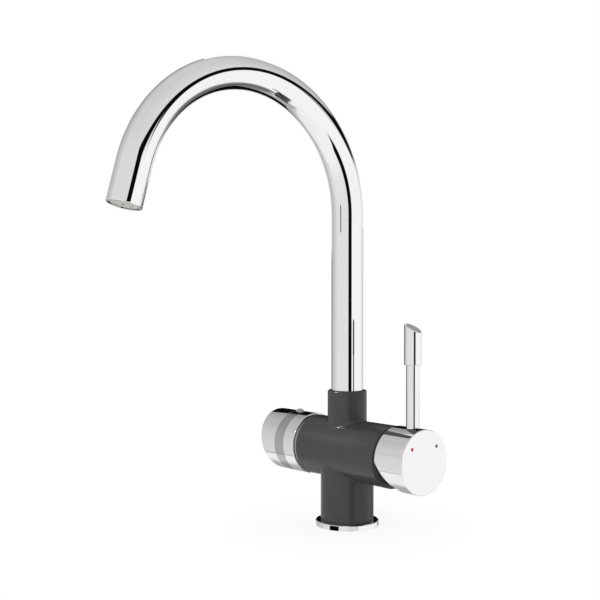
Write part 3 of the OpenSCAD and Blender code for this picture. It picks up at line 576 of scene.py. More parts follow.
def half_barrel(bm, radius, fillet, side, wall, ends, edges):
    """Upper or lower half of the barrel with the round neck that grows out of it.

    side is 1 for the upper half and -1 for the lower; wall is the neck's outline from the fillet on,
    as (radius, height); ends are the x of the barrel's plain part, and edges the corners outside it.
    """
    per_end, per_side, rings, crowding, arc, lead = 64, 44, 12, 1.25, 9, 0.3
    left, right = ends
    quarter = math.pi / 2
    border = [(right, -quarter + math.pi * i / per_end) for i in range(per_end)]
    border += [(right + (left - right) * i / per_side, quarter) for i in range(per_side)]
    border += [(left, quarter - math.pi * i / per_end) for i in range(per_end)]
    border += [(left + (right - left) * i / per_side, -quarter) for i in range(per_side)]

    def barrel_point(r, x, lean):
        return Vector((x, r * math.sin(lean), AXIS_Z + side * r * math.cos(lean)))

    reach, middle = radius + fillet, BARREL_R + fillet
    columns = []
    for x, lean in border:
        turn = math.atan2(BARREL_R * lean, x)
        centre = Vector((reach * math.cos(turn), reach * math.sin(turn), 0))
        centre.z = side * math.sqrt(middle ** 2 - centre.y ** 2)
        to_neck = Vector((-math.cos(turn), -math.sin(turn), 0))
        to_barrel = -Vector((0, centre.y, centre.z)) / middle
        start_x, start_lean = centre.x, math.asin(centre.y / middle)
        column = []
        for k in range(rings):
            share = 1 - (1 - k / rings) ** crowding
            column.append(barrel_point(
                BARREL_R, x + (start_x - x) * share, lean + (start_lean - lean) * share))
        bend = to_barrel.angle(to_neck)
        column += [centre + Vector((0, 0, AXIS_Z)) + swing(to_barrel, to_neck, k / arc, bend) * fillet
                   for k in range(arc + 1)]
        column.append(column[-1] + Vector((0, 0, side * lead)))
        column += [upright(r, h, turn) for r, h in wall]
        columns.append(column)
    rows = [list(row) for row in zip(*columns)]
    rows[-1] = rows[-1][:1]
    weave(bm, rows)
    leans = [-quarter + math.pi * i / per_end for i in range(per_end + 1)]
    for end, edge in zip(ends, edges):
        tip = edge[-1][1]
        outline = rounded([(BARREL_R, end, 0), *edge, (BARREL_R / 2, tip, 0), (0, tip, 0)], steps=4)
        arcs = [[barrel_point(r, h, lean) for lean in leans] for r, h in outline]
        arcs[-1] = arcs[-1][:1]
        weave(bm, arcs, wrap=False)


def thread_tool(name, x, y, top, crest, depth, pitch, run, bore):
    """Tool that cuts a thread from below, and a plain bore above it if top is above the thread's run."""
    below, per_pitch = -2, 4
    levels = int((run - below) / pitch * per_pitch)

    def outline(turn):
        points = [(0, below)]
        for k in range(levels + 1):
            h = below + k * pitch / per_pitch
            phase = (h / pitch - turn / (2 * math.pi)) % 1.0
            points.append((crest + depth * (1 - abs(2 * phase - 1)), h))
        end = points[-1][1]
        return points + ([(bore, end), (bore, top), (0, top)] if top > run else [(0, end)])

    return turned_piece(name, outline, standing(x, y), 48)


def make_body(sizes, look):
    """Coated casting: column, cross barrel and collar, with its bores and threads."""
    corner, blunt, plain, collar_edge, column_edge = 0.2, 0.3, 0.6, 12, 6
    rebate_x, rebate_r = BARREL_RIGHT - sizes.rebate / MM, BARREL_R - sizes.rebate_depth / MM
    ends = (BARREL_LEFT + TAPER_LEN + plain, rebate_x - plain)
    edges = ([(BARREL_R, BARREL_LEFT + TAPER_LEN, corner), (BARREL_R - TAPER_DEPTH, BARREL_LEFT, corner)],
             [(BARREL_R, rebate_x, blunt), (rebate_r, rebate_x, corner), (rebate_r, BARREL_RIGHT, corner)])
    collar = rounded([
        (COLLAR_R, COLLAR_TOP - collar_edge, 0), (COLLAR_R, COLLAR_TOP, sizes.collar_round / MM),
        (COLLAR_R / 2, COLLAR_TOP, 0), (0, COLLAR_TOP, 0)], steps=8)
    column = rounded([
        (COLUMN_R, RING_H + column_edge, 0), (COLUMN_R, RING_H, corner), (FOOT_R, RING_H, 0),
        (FOOT_R, 0, blunt), (FOOT_R / 2, 0, 0), (0, 0, 0)], steps=4)
    bm = bmesh.new()
    half_barrel(bm, COLLAR_R, sizes.collar_fillet / MM, 1, collar, ends, edges)
    half_barrel(bm, COLUMN_R, sizes.column_fillet / MM, -1, column, ends, edges)
    close(bm, "coated_body")
    made = to_object(bm, "coated_body")
    cut(made,
        turned_piece("socket_tool", stepped(*SOCKET_BORE)[:-1] + SOCKET_MOUTH, upright, 96),
        turned_piece("mixer_tool", stepped(*MIXER_BORE), on_barrel, 96),
        turned_piece("valve_tool", stepped(*VALVE_BORE), on_barrel, 96),
        turned_piece("screw_tool", stepped(*SCREW_BORE), lambda r, h, turn: Vector(
            (r * math.cos(turn), h, SCREW_Z + r * math.sin(turn))), 48),
        thread_tool("stud_tool", 0, 0, 0, *STUD_THREAD),
        *[thread_tool(f"inlet_tool_{i}", *inlet, *INLET_THREAD) for i, inlet in enumerate(INLETS)])
    coating = body_paint(look)
    # Painted highlight: the barrel's taper beside the knob gets a pale grey tone for the light its edge
    # catches
    painted_taper_highlight(coating, (BARREL_LEFT + TAPER_LEN) * MM, (AXIS_Z + BARREL_R) * MM, fade=12 * MM, tone=0.33)
    dress(made, coating, "tap_body", "body_grey", "body_casting", crease=32)


def make_base_ring(sizes, look):
    """Chrome ring under the column, with the recess of its gasket."""
    bore, recess_in, recess_out, recess_top, chamfer, corner = 18.05, 19.65, 23.35, 1.65, 0.4, 0.2
    edge = sizes.edge_round / MM
    outline = rounded([
        (bore, 0, corner), (recess_in, 0, 0), (recess_in, recess_top, 0), (recess_out, recess_top, 0),
        (recess_out, 0, 0), (RING_R, 0, corner), (RING_R, RING_H - chamfer, edge),
        (RING_R - chamfer, RING_H, edge), (bore, RING_H, corner)], steps=5, loop=True)
    made = turned_piece("chrome_base_ring", outline, upright, 160, loop=True)
    dress(made, chrome(look), "tap_body", "chrome", "base_ring")


def make_dome(look):
    """Coated dome behind the mixer cap."""
    wall, window, outside, inside = 2.2, 12.5, 14, 12
    inner, reach = BONNET_R - wall, BONNET_END - PIVOT_X
    sweep, back = math.asin(reach / BONNET_R), math.asin((reach - wall) / inner)

    def dome(radius, turn):
        return radius * math.cos(turn), PIVOT_X + radius * math.sin(turn)

    outline = [(BONNET_R, BONNET_X)]
    outline += [dome(BONNET_R, sweep * k / outside) for k in range(outside + 1)]
    outline += [(window, BONNET_END), (window, BONNET_END - wall)]
    outline += [dome(inner, back * (1 - k / inside)) for k in range(inside + 1)]
    outline += [(inner, BONNET_X)]
    made = turned_piece("coated_dome", outline, on_barrel, 128, loop=True)
    dress(made, body_paint(look), "tap_body", "body_grey", "cartridge_bonnet")


# ---------------- spout


def make_gooseneck(sizes, look):
    """Chrome gooseneck tube with a rounded lip."""
    riser_rings, tail_rings, lip_len, bore_round = 12, 5, 4, 0.25
    stations = [(Vector((0, 0, TUBE_FOOT + (BEND_START - TUBE_FOOT) * k / riser_rings)), Vector((0, 1, 0)))
                for k in range(riser_rings)]
    stations += [along_spout(BEND_SWEEP * k / sizes.along)[:2] for k in range(sizes.along + 1)]
    centre, outward, heading = along_spout(BEND_SWEEP)
    stations += [(centre + heading * (OUTLET * k / tail_rings), outward) for k in range(1, tail_rings)]
    end = rounded([(TUBE_R, -lip_len, 0), (TUBE_R, 0, sizes.lip_round / MM), (TUBE_BORE, 0, bore_round),
                   (TUBE_BORE, -lip_len, 0)], steps=6)

    def ring(middle, out, radius):
        return [middle + (Vector((1, 0, 0)) * math.cos(t) + out * math.sin(t)) * radius
                for t in (2 * math.pi * i / sizes.around for i in range(sizes.around))]

    rows = [ring(middle, out, TUBE_R) for middle, out in stations]
    rows += [ring(centre + heading * (OUTLET + h), outward, r) for r, h in end]
    rows += [ring(middle, out, TUBE_BORE) for middle, out in reversed(stations)]
    bm = bmesh.new()
    weave(bm, rows, loop=True)
    close(bm, "gooseneck")
    dress(to_object(bm, "gooseneck"), chrome(look), "spout", "chrome", "spout_tube")


def ring_of_cells():
    """Geometry node tree that repeats one cell around the axis Z."""
    name = "Ring of cells"
    if name in bpy.data.node_groups:
        return bpy.data.node_groups[name]
    tree = bpy.data.node_groups.new(name, "GeometryNodeTree")
    for label, kind in (("Cell", "Geometry"), ("Count", "Int"), ("Join distance", "Float"),
                        ("Finish", "Material")):
        tree.interface.new_socket(label, in_out="INPUT", socket_type="NodeSocket" + kind)
    tree.interface.new_socket("Ring", in_out="OUTPUT", socket_type="NodeSocketGeometry")
    takes = node(tree, "NodeGroupInput").outputs
    place = node(tree, "GeometryNodeInputIndex").outputs[0]
    turn = maths(tree, "MULTIPLY", place, maths(tree, "DIVIDE", 2 * math.pi, takes["Count"]))
    turn = node(tree, "ShaderNodeCombineXYZ", {"Z": turn}).outputs[0]
    turn = node(tree, "FunctionNodeEulerToRotation", {0: turn}).outputs[0]
    points = node(tree, "GeometryNodePoints", {"Count": takes["Count"]}).outputs[0]
    copies = node(tree, "GeometryNodeInstanceOnPoints",
                  {"Points": points, "Instance": takes["Cell"], "Rotation": turn}).outputs[0]
    whole = node(tree, "GeometryNodeRealizeInstances", {"Geometry": copies}).outputs[0]
    whole = node(tree, "GeometryNodeMergeByDistance",
                 {"Geometry": whole, "Distance": takes["Join distance"]}).outputs[0]
    whole = node(tree, "GeometryNodeSetMaterial",
                 {"Geometry": whole, "Material": takes["Finish"]}).outputs[0]
    node(tree, "NodeGroupOutput", {"Ring": whole})
    return tree


def make_insert(sizes, material):
    """Moulded insert of the aerator, a ring of cells with one round opening each."""
    inner, outer, thick, recess, bevel, join = 4.05, 9.35, 4.0, 0.6, 0.18, 0.005
    middle, hole = (inner + outer) / 2, sizes.opening_r / MM
    half = math.pi / sizes.openings
    across, around = 6, 8
    near = [upright(inner + (outer - inner) * k / across, 0, -half) for k in range(across)]
    rim = [upright(outer, 0, -half + 2 * half * k / around) for k in range(around)]
    far = [upright(outer + (inner - outer) * k / across, 0, half) for k in range(across)]
    core = [upright(inner, 0, half - 2 * half * k / around) for k in range(around)]
    border = near + rim + far + core
    spots = [math.atan2(point.y, point.x - middle) for point in border]

    def opening(radius, h):
        return [Vector((middle + radius * math.cos(t), radius * math.sin(t), h)) for t in spots]

    def level(points, h):
        return [Vector((point.x, point.y, h)) for point in points]

    top, bottom = -recess, -recess - thick
    rows = [level(border, top), opening(hole + bevel, top), opening(hole, top - bevel),
            opening(hole, bottom + bevel), opening(hole + bevel, bottom), level(border, bottom)]
    bm = bmesh.new()
    weave(bm, rows)
    for side in (rim + far[:1], core + near[:1]):
        weave(bm, [level(side, top), level(side, bottom)], wrap=False)
    bmesh.ops.remove_doubles(bm, verts=bm.verts, dist=1e-7)
    made = to_object(bm, "aerator_openings")
    tree = ring_of_cells()
    keys = {item.name: item.identifier for item in tree.interface.items_tree if item.in_out == "INPUT"}
    repeat = made.modifiers.new("Ring", "NODES")
    repeat.node_group = tree
    repeat[keys["Count"]] = sizes.openings
    repeat[keys["Join distance"]] = join * MM
    repeat[keys["Finish"]] = material
    evaluated_mesh(made)
    bm = bmesh.new()
    bm.from_mesh(made.data)
    close(bm, "aerator_openings")
    bm.to_mesh(made.data)
    bm.free()
    made.data.transform(outlet_frame())
    dress(made, material, "spout", "resin", "aerator_insert")


# ---------------- filter knob


def make_knob(sizes, look):
    """Filter knob: chrome skirt, grey band, chrome end cap with a slanted face, and a pip."""
    edge, lip, face = sizes.edge_round / MM, sizes.lip_round / MM, sizes.face_round / MM
    screw_r, spindle_r, hub_r, core_bore, core_r, skirt_bore = 2.05, 4.05, 8, 17, 20, 22.2
    hub_x, hub_floor, core_x = END_CAP_X - 1.4, END_CAP_X + 0.3, END_CAP_X - 3.4
    web_in, web_out = BAND_X + 1.8, BAND_X - 1.7
    skirt = rounded([
        (screw_r, hub_x, 0), (hub_r, hub_x, 0), (hub_r, web_out, 0), (core_bore, web_out, 0),
        (core_bore, core_x, 0), (core_r, core_x, 0), (core_r, BAND_X, 0), (KNOB_R, BAND_X, edge),
        (KNOB_R, SKIRT_X, lip), (skirt_bore, SKIRT_X, edge), (skirt_bore, web_in, 0),
        (spindle_r, web_in, 0), (spindle_r, hub_floor, 0), (screw_r, hub_floor, 0)], steps=5, loop=True)
    made = turned_piece("chrome_knob_skirt", skirt, on_barrel, 160, loop=True)
    dress(made, chrome(look), "filter_handle", "chrome", "filter_knob_skirt")

    bore, seat = core_r + FIT, KNOB_R + AXIS_Z - 1.5
    band = rounded([(bore, BAND_X, 0), (KNOB_R, BAND_X, edge), (KNOB_R, END_CAP_X, edge),
                    (bore, END_CAP_X, 0)], steps=4, loop=True)
    made = turned_piece("grey_knob_band", band, on_barrel, 160, loop=True)
    cut(made, turned_piece("seat_tool", stepped(seat, (PIP_R + FIT, seat + 6)), on_pip, 48))
    dress(made, satin_band(look), "filter_handle", "satin_grey", "filter_knob_band")

    middle, pocket = END_CAP_FAR + KNOB_R * KNOB_SLANT, core_x - 3.5

    def end_cap(turn):
        lean = -KNOB_SLANT * math.sin(turn)
        return rounded([
            (0, pocket, 0), (bore, pocket, 0), (bore, END_CAP_X, 0), (KNOB_R, END_CAP_X, edge),
            (KNOB_R, middle + lean * KNOB_R, face), (10, middle + lean * 10, 0), (0, middle, 0)], steps=7)

    made = turned_piece("chrome_knob_end", end_cap, on_barrel, 160)
    dress(made, chrome(look), "filter_handle", "chrome", "filter_knob_end_cap")

    rise, rings, below = PIP_TOP - AXIS_Z - KNOB_R, 12, 0.1
    ball = (PIP_R ** 2 + rise ** 2) / (2 * rise)
    sweep = math.asin(PIP_R / ball)
    dome = [(0, seat), (PIP_R, seat), (PIP_R, KNOB_R + AXIS_Z - below)]
    dome += [(ball * math.sin(turn), PIP_TOP - ball + ball * math.cos(turn))
             for turn in (sweep * (1 - k / rings) for k in range(rings))] + [(0, PIP_TOP)]
    made = turned_piece("knob_pip", dome, on_pip, 48)
    pip = finish("Moulded pip", look.pip, 0.22, spread=0.06, grain=0.0005, bump=0.03)
    dress(made, pip, "filter_handle", "pale_grey", "filter_knob_pip", crease=50)


# ---------------- mixer handle


def make_mixer_cap(sizes, look):
    """Chrome cap with a slanted lower rim, a boss inside and the seats of dots, lever and screw."""
    inner, boss_r, rim = CAP_R - CAP_WALL, 8, sizes.rim_round / MM

    def cap(turn):
        lean = RIM_SLANT * max(0.0, -math.sin(turn))
        return rounded([
            (0, BOSS_X, 0), (boss_r, BOSS_X, 0), (boss_r, CAP_INSIDE, 0), (inner, CAP_INSIDE, 0),
            (inner, CAP_X + lean * inner, rim), (CAP_R, CAP_X + lean * CAP_R, rim),
            (CAP_R, FACE_X, sizes.cap_round / MM), (CAP_R / 2, FACE_X, 0), (0, FACE_X, 0)], steps=7)

    made = turned_piece("chrome_mixer_cap", cap, on_barrel, 192)

    def dot_seat(side):
        outline = stepped(FACE_X - DOT_DEPTH, (DOT_R + FIT, FACE_X + 2))
        return turned_piece(f"dot_tool_{side}", outline, lying(side * DOT_Y, DOT_Z), 40)

    # Slot of the stem's flat end, open toward the boss's own end
    slot_x, slot_len, slot_y, slot_z = CAP_INSIDE - 2, CAP_INSIDE - BOSS_X, 6.1, 8.1
    bm = bmesh.new()
    bmesh.ops.create_cube(bm, size=1, matrix=Matrix.Diagonal((slot_len * MM, slot_y * MM, slot_z * MM, 1)))
    slot = to_object(bm, "slot_tool")
    slot.data.transform(Matrix.Translation(Vector((slot_x - slot_len / 2, 0, AXIS_Z)) * MM))
    # Bores for the lever's foot from above, and for the grub screw from below
    lever_bore = stepped(AXIS_Z + 20, (LEVER_FOOT_R + FIT, AXIS_Z + 30))
    screw_bore, screw_x = stepped(30, (2.55, AXIS_Z - 3)), (BOSS_X + CAP_INSIDE) / 2
    cut(made, turned_piece("lever_tool", lever_bore, on_lever, 48),
        turned_piece("screw_tool", screw_bore, standing(screw_x), 48), slot, dot_seat(-1), dot_seat(1))
    dress(made, chrome(look), "mixer_handle", "chrome", "mixer_cap")


def make_lever(sizes, look):
    """Chrome rod on the cap, and the thicker grip with its slanted top."""
    foot, corner, blunt, lead = AXIS_Z + CAP_R - CAP_WALL, 0.2, 0.4, 0.6

    def rod(turn):
        def seat(r):
            return AXIS_Z + math.sqrt((CAP_R + FIT) ** 2 - (r * math.sin(turn)) ** 2)

        outline = [
            (0, foot), (LEVER_FOOT_R, foot), (LEVER_FOOT_R, seat(LEVER_FOOT_R)),
            (ROD_R - corner, seat(ROD_R - corner)), (ROD_R, seat(ROD_R) + corner),
            (ROD_R, seat(ROD_R) + lead)]
        return [Vector(point) for point in outline] + rounded([
            (ROD_R, GRIP_Z - 6, 0), (ROD_R, GRIP_Z, corner), (TENON_R, GRIP_Z, 0),
            (TENON_R, TENON_TOP, 0.3), (0, TENON_TOP, 0)], steps=4)

    made = turned_piece("chrome_lever_rod", rod, on_lever, 96)
    dress(made, chrome(look), "mixer_handle", "chrome", "lever_rod")
    top, bore, bore_top = GRIP_TOP - GRIP_R * GRIP_SLANT, TENON_R + FIT, TENON_TOP + FIT

    def grip(turn):
        lean = -GRIP_SLANT * math.cos(turn - GRIP_TURN)
        return rounded([
            (0, bore_top, 0), (bore, bore_top, 0), (bore, GRIP_Z, 0), (GRIP_R, GRIP_Z, blunt),
            (GRIP_R, top + lean * GRIP_R, sizes.grip_round / MM), (GRIP_R / 2, top + lean * GRIP_R / 2, 0),
            (0, top, 0)], steps=8)

    made = turned_piece("chrome_lever_grip", grip, on_lever, 128)
    dress(made, chrome(look), "mixer_handle", "chrome", "lever_grip")


def make_dots(look):
    """Domed enamel dots that mark hot and cold on the cap's face."""
    floor, rim, dome, crown = FACE_X - DOT_DEPTH, 0.06, 0.095, 0.1
    outline = rounded([
        (0, floor, 0), (DOT_R, floor, 0), (DOT_R, FACE_X + rim, rim), (DOT_R / 2, FACE_X + dome, 0),
        (0, FACE_X + crown, 0)], steps=3, guard=0.03)
    for name, slot, y, tone in (("hot_dot", "red", -DOT_Y, look.hot),
                                ("cold_dot", "blue", DOT_Y, look.cold)):
        made = turned_piece(name + "_enamel", outline, lying(y, DOT_Z), 40)
        dress(made, finish("Enamel " + slot, tone, 0.12, spread=0.06, grain=0.0004, bump=0.03),
              "mixer_handle", slot, name)


# ---------------- stage

# Cards of the studio: brightness, whether both sides of the camera see it alike, middle azimuth,
# half width, middle elevation, half height, softness across and in height; all in degrees.
# Azimuth 0 is toward the camera and grows to its right.
CARDS = (
    (0.78, True, 180, 32, 0, 10, 8, 4),
    (0.82, False, 140, 32, 0, 12, 6, 4),
    (0.62, False, -75, 80, 14, 5, 12, 4),
    (0.95, False, -40, 75, -58, 26, 30, 12),
    (0.90, False, -115.5, 27.5, -58, 28, 12, 0.5),
    (0.50, False, -108, 18, -30, 0.8, 3, 0.4),
    (0.45, False, -119, 9, 44, 0.7, 4, 0.5),
    (0.93, False, 60, 140, -85, 24, 30, 8),
    (0.97, False, 73, 45, -26, 40, 3, 3),
    (0.20, False, 142, 24, -38, 28, 9, 5),
    (0.003, False, 82, 56, 19.5, 5.5, 5, 1.5),
    (0.003, False, 75, 9, 15, 6, 2, 1.5),
    (0.003, False, 37, 12.5, 17, 7.5, 1.5, 1.5),
    (0.003, False, 17.5, 12, -13.5, 22.5, 1.5, 1.5),
)
CARD_SHAPE = ("Middle", "Half width", "Middle height", "Half height", "Soft width", "Soft height")

# Studio between the cards: two angles in degrees, and the two values that something goes between over them
SIDES = (75, 160, 0.76, 0.34)  # brightness of the sides, by azimuth
SLOPE = (-30, 36, 0.09, -0.04)  # what elevation adds to it
CROWN, CROWN_GLOW = (35, 70), 0.64  # share of the crown, by elevation, and its brightness
LEAN = (-105, -125, 0.0, 4.5)  # degrees added to elevations at the left rear, by azimuth

# Upright cards near the tap, in metres: azimuth in degrees, distance from the tap's axis, half width,
# lower and upper edge, drop of the upper edge's far corner, and brightness
STANDING_CARDS = {
    "rear_card": (-168.5, 0.275, 0.105, 0.0, 0.25, 0.035, 0.003),
    "side_card": (161.6, 0.285, 0.055, 0.0, 0.25, 0.0, 0.003),
    "rear_panel": (-174, 0.2, 0.13, 0.34, 0.68, 0.0, 1.0),
    "ring_card": (-29.1, 0.0273, 0.0048, -0.001, 0.0042, 0.0, 0.003),
    "ring_glow": (9.5, 0.028, 0.0055, -0.001, 0.0042, 0.0, 0.72),
    "ring_end": (72, 0.0272, 0.005, -0.002, 0.0042, 0.0, 0.9),
}
UP = Vector((0, 0, 1))
WHITE = (1, 1, 1, 1)


def studio_card():
    """Group that masks a card of the studio, by azimuth and elevation in degrees."""
    if "Studio card" in bpy.data.node_groups:
        return bpy.data.node_groups["Studio card"]
    tree, takes, mask = group_tree("Studio card", {
        "Azimuth": 0, "Elevation": 0, "Middle": 0, "Half width": 10, "Middle height": 0, "Half height": 10,
        "Soft width": 2, "Soft height": 2}, "Mask")
    masks = []
    for value, middle, half, soft in (("Azimuth", "Middle", "Half width", "Soft width"),
                                      ("Elevation", "Middle height", "Half height", "Soft height")):
        off = maths(tree, "ABSOLUTE", maths(tree, "SUBTRACT", takes[value], takes[middle]))
        inside = maths(tree, "SUBTRACT", takes[half], takes[soft])
        outside = maths(tree, "ADD", takes[half], takes[soft])
        masks.append(remap(tree, off, inside, outside, 1.0, 0.0, way="SMOOTHSTEP"))
    tree.links.new(maths(tree, "MULTIPLY", *masks), mask)
    return tree


def make_world(stage, toward, right):
    """World that is white to the camera, a soft studio to gloss and an even fill to matt surfaces."""
    world = bpy.data.worlds.new("Studio")
    bpy.context.scene.world = world
    tree = bare_tree(world)
    way = node(tree, "ShaderNodeTexCoord").outputs["Generated"]
    ahead, aside, rise = (
        node(tree, "ShaderNodeVectorMath", {0: way, 1: axis}, operation="DOT_PRODUCT").outputs["Value"]
        for axis in (toward, right, UP))
    turn = maths(tree, "DEGREES", maths(tree, "ARCTAN2", aside, ahead))
    either = maths(tree, "ABSOLUTE", turn)
    rise = maths(tree, "DEGREES", maths(tree, "ARCSINE", rise))
    rise = maths(tree, "ADD", rise, remap(tree, turn, *LEAN))
    sides = maths(tree, "ADD", remap(tree, either, *SIDES), remap(tree, rise, *SLOPE))
    light = mixed(tree, remap(tree, rise, *CROWN), sides, CROWN_GLOW)
    for glow, alike, *shape in CARDS:
        card = node(tree, "ShaderNodeGroup", {
            "Azimuth": either if alike else turn, "Elevation": rise, **dict(zip(CARD_SHAPE, shape))},
            node_tree=studio_card())
        light = mixed(tree, card.outputs[0], light, glow)
    path = node(tree, "ShaderNodeLightPath").outputs
    light = mixed(tree, path["Is Diffuse Ray"], light, stage.fill)
    light = mixed(tree, path["Is Camera Ray"], light, 1.0)
    shine = node(tree, "ShaderNodeBackground", {"Color": WHITE, "Strength": light})
    node(tree, "ShaderNodeOutputWorld", {"Surface": shine.outputs[0]})


def flat_piece(name, corners):
    """Object of one flat face, with a bare material of its own, and that material's node tree."""
    mesh = bpy.data.meshes.new(name)
    mesh.from_pydata([tuple(corner) for corner in corners], [], [tuple(range(len(corners)))])
    material = bpy.data.materials.new(name)
    mesh.materials.append(material)
    return added(name, mesh), bare_tree(material)


def make_card(name, toward, right, azimuth, distance, half, lower, upper, drop, strength):
    """Upright glowing card that faces the tap's axis and only shows in glossy surfaces."""
    turn = math.radians(azimuth)
    middle = (toward * math.cos(turn) + right * math.sin(turn)) * distance
    along = (right * math.cos(turn) - toward * math.sin(turn)) * half
    made, tree = flat_piece(name, [middle - along + UP * lower, middle + along + UP * lower,
                                   middle + along + UP * (upper - drop), middle - along + UP * upper])
    glow = node(tree, "ShaderNodeEmission", {"Color": WHITE, "Strength": strength})
    node(tree, "ShaderNodeOutputMaterial", {"Surface": glow.outputs[0]})
    made.visible_camera = made.visible_diffuse = made.visible_shadow = made.visible_transmission = False


def make_floor():
    """Pale floor that is white to the camera, keeps the tap's shadow and is clear from below."""
    reach, depth, grey = 4.0, -0.0003, 0.85
    # Share of plain white that the camera sees, by the distance from the tap's axis in metres
    bleach = (0.025, 0.11, 0.9, 1.0)
    corners = [(-reach, -reach), (reach, -reach), (reach, reach), (-reach, reach)]
    made, tree = flat_piece("floor", [(x, y, depth) for x, y in corners])
    matt = node(tree, "ShaderNodeBsdfDiffuse", {"Color": (grey, grey, grey, 1)}).outputs[0]
    white = node(tree, "ShaderNodeEmission", {"Color": WHITE, "Strength": 1.0}).outputs[0]
    seen = node(tree, "ShaderNodeLightPath").outputs["Is Camera Ray"]
    place = node(tree, "ShaderNodeTexCoord").outputs["Object"]
    away = node(tree, "ShaderNodeVectorMath", {0: place}, operation="LENGTH").outputs["Value"]
    share = maths(tree, "MULTIPLY", seen, remap(tree, away, *bleach))
    top = node(tree, "ShaderNodeMixShader", {0: share, 1: matt, 2: white}).outputs[0]
    clear = node(tree, "ShaderNodeBsdfTransparent").outputs[0]
    under = node(tree, "ShaderNodeNewGeometry").outputs["Backfacing"]
    whole = node(tree, "ShaderNodeMixShader", {0: under, 1: top, 2: clear}).outputs[0]
    node(tree, "ShaderNodeOutputMaterial", {"Surface": whole})
    made.visible_glossy = False


def make_camera(stage, toward, right):
    """Camera at the photograph's viewing angle."""
    data = bpy.data.cameras.new("camera")
    data.lens = stage.lens
    data.sensor_width = 36.0
    data.clip_start, data.clip_end = 0.01, 50.0
    made = added("camera", data)
    view = -toward * math.cos(stage.pitch) - UP * math.sin(stage.pitch)
    turn = Matrix((right, right.cross(view), -view)).transposed()
    spot = toward * stage.distance + right * stage.side + UP * stage.height
    made.matrix_world = Matrix.Translation(spot) @ turn.to_4x4()
    bpy.context.scene.camera = made


def make_lamp(name, spot, size, power):
    """Large round lamp, aimed at the tap's middle, that only matt surfaces take light from."""
    aim = UP * 0.15
    data = bpy.data.lights.new(name, "AREA")
    data.shape = "DISK"
    data.size = size
    data.energy = power
    made = added(name, data)
    made.location = spot
    made.rotation_euler = (aim - spot).to_track_quat("-Z", "Y").to_euler()
    made.visible_glossy = False


def make_key(stage, toward, right):
    """Small lamp at the left, a metre from the collar, that glints on the collar's rounded edges."""
    aim, azimuth, rise = Vector((5.4, -14.5, 74.0)) * MM, math.radians(-80), math.radians(35)
    data = bpy.data.lights.new("key_lamp", "SPOT")
    data.energy = stage.key
    data.shadow_soft_size = 0.03
    data.spot_size = math.radians(2.6)
    data.spot_blend = 0.5
    made = added("key_lamp", data)
    level = toward * math.cos(azimuth) + right * math.sin(azimuth)
    way = level * math.cos(rise) + UP * math.sin(rise)
    made.location = aim + way
    made.rotation_euler = way.to_track_quat("Z", "Y").to_euler()
    made.visible_diffuse = False


# ---------------- operators


class TAP_OT_body(bpy.types.Operator):
    """Builds the coated body, the dome behind the mixer cap and the base ring"""
    bl_idname = "filter_tap.body"
    bl_label = "Body and base ring"

    def execute(self, context):
        tap = context.scene.filter_tap
        make_body(tap.body, tap.finishes)
        make_base_ring(tap.body, tap.finishes)
        make_dome(tap.finishes)
        return {"FINISHED"}


class TAP_OT_spout(bpy.types.Operator):
    """Builds the gooseneck spout"""
    bl_idname = "filter_tap.spout"
    bl_label = "Gooseneck spout"

    def execute(self, context):
        tap = context.scene.filter_tap
        make_gooseneck(tap.spout, tap.finishes)
        return {"FINISHED"}


class TAP_OT_aerator(bpy.types.Operator):
    """Builds the aerator's insert with its ring of openings"""
    bl_idname = "filter_tap.aerator"
    bl_label = "Aerator insert"

    def execute(self, context):
        tap = context.scene.filter_tap
        make_insert(tap.spout, moulded_resin(tap.finishes))
        return {"FINISHED"}


class TAP_OT_knob(bpy.types.Operator):
    """Builds the filter knob with its band and pip"""
    bl_idname = "filter_tap.knob"
    bl_label = "Filter knob"

    def execute(self, context):
        tap = context.scene.filter_tap
        make_knob(tap.knob, tap.finishes)
        return {"FINISHED"}


class TAP_OT_mixer(bpy.types.Operator):
    """Builds the mixer cap, its lever and the hot and cold dots"""
    bl_idname = "filter_tap.mixer"
    bl_label = "Mixer cap and lever"

    def execute(self, context):
        tap = context.scene.filter_tap
        make_mixer_cap(tap.mixer, tap.finishes)
        make_lever(tap.mixer, tap.finishes)
        make_dots(tap.finishes)
        return {"FINISHED"}


class TAP_OT_inner(bpy.types.Operator):
    """Gives the valve, cartridge, seal and aerator pieces that stay as CAD nodes their finishes"""
    bl_idname = "filter_tap.inner"
    bl_label = "Inner pieces"

    def execute(self, context):
        finishes = inner_finishes(context.scene.filter_tap.finishes)
        slots = {part["node"]: part["material_slot"] for part in frame["record"]["subparts"]}
        for name, shown in frame["nodes"].items():
            if slots[name] not in finishes:
                continue
            if not shown.material_slots:
                shown.data.materials.append(None)
            for place in shown.material_slots:
                place.material = finishes[slots[name]]
        return {"FINISHED"}


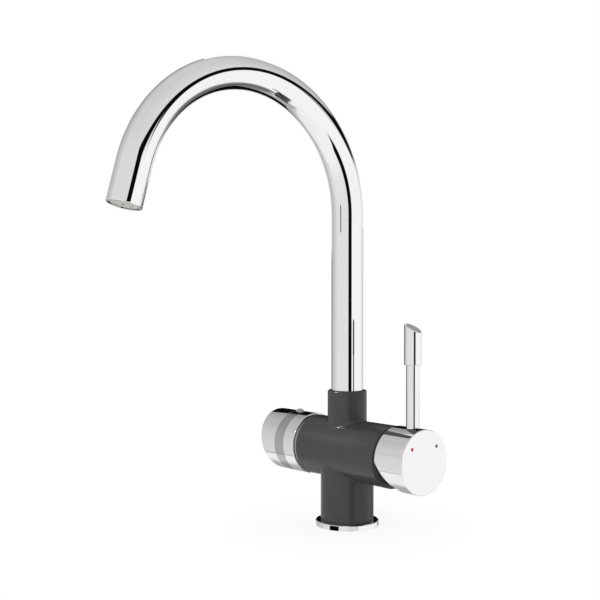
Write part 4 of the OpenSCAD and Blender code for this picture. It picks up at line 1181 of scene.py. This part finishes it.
class TAP_OT_stage(bpy.types.Operator):
    """Sets up the camera, the floor and the studio light"""
    bl_idname = "filter_tap.stage"
    bl_label = "Studio"

    def execute(self, context):
        stage = context.scene.filter_tap.stage
        toward = Vector((math.sin(stage.azimuth), -math.cos(stage.azimuth), 0))
        right = Vector((math.cos(stage.azimuth), math.sin(stage.azimuth), 0))
        context.scene.view_settings.view_transform = "Standard"
        make_world(stage, toward, right)
        make_floor()
        for name, card in STANDING_CARDS.items():
            make_card(name, toward, right, *card)
        make_lamp("soft_lamp", toward * 1.1 - right * 0.94 + UP * 0.55, size=1.0, power=stage.lamp)
        make_lamp("rear_lamp", right * 1.36 - toward * 0.5 + UP * 0.36, size=0.8, power=stage.rear)
        make_key(stage, toward, right)
        make_camera(stage, toward, right)
        return {"FINISHED"}


class TAP_PT_tap(bpy.types.Panel):
    """Steps and settings of the filter tap"""
    bl_idname = "TAP_PT_tap"
    bl_label = "Filter tap"
    bl_space_type = "VIEW_3D"
    bl_region_type = "UI"
    bl_category = "Tap"

    def draw(self, context):
        tap = context.scene.filter_tap
        for step, part in STEPS:
            box = self.layout.box()
            box.operator(step.bl_idname)
            settings = getattr(tap, part) if part else None
            for name in settings.__annotations__ if settings else ():
                box.prop(settings, name)


STEPS = ((TAP_OT_body, "body"), (TAP_OT_spout, "spout"), (TAP_OT_aerator, ""), (TAP_OT_knob, "knob"),
         (TAP_OT_mixer, "mixer"), (TAP_OT_inner, "finishes"), (TAP_OT_stage, "stage"))
CLASSES = (TapFinishes, BodySizes, SpoutSizes, KnobSizes, MixerSizes, StageSettings, TapSettings,
           *(step for step, part in STEPS), TAP_PT_tap)


def register():
    for item in CLASSES:
        bpy.utils.register_class(item)
    bpy.types.Scene.filter_tap = PointerProperty(type=TapSettings)


def unregister():
    del bpy.types.Scene.filter_tap
    for item in reversed(CLASSES):
        bpy.utils.unregister_class(item)


def main():
    """Builds the whole tap."""
    register()
    bpy.ops.filter_tap.body()
    bpy.ops.filter_tap.spout()
    bpy.ops.filter_tap.aerator()
    bpy.ops.filter_tap.knob()
    bpy.ops.filter_tap.mixer()
    bpy.ops.filter_tap.inner()
    bpy.ops.filter_tap.stage()


if __name__ == "__main__":
    main()
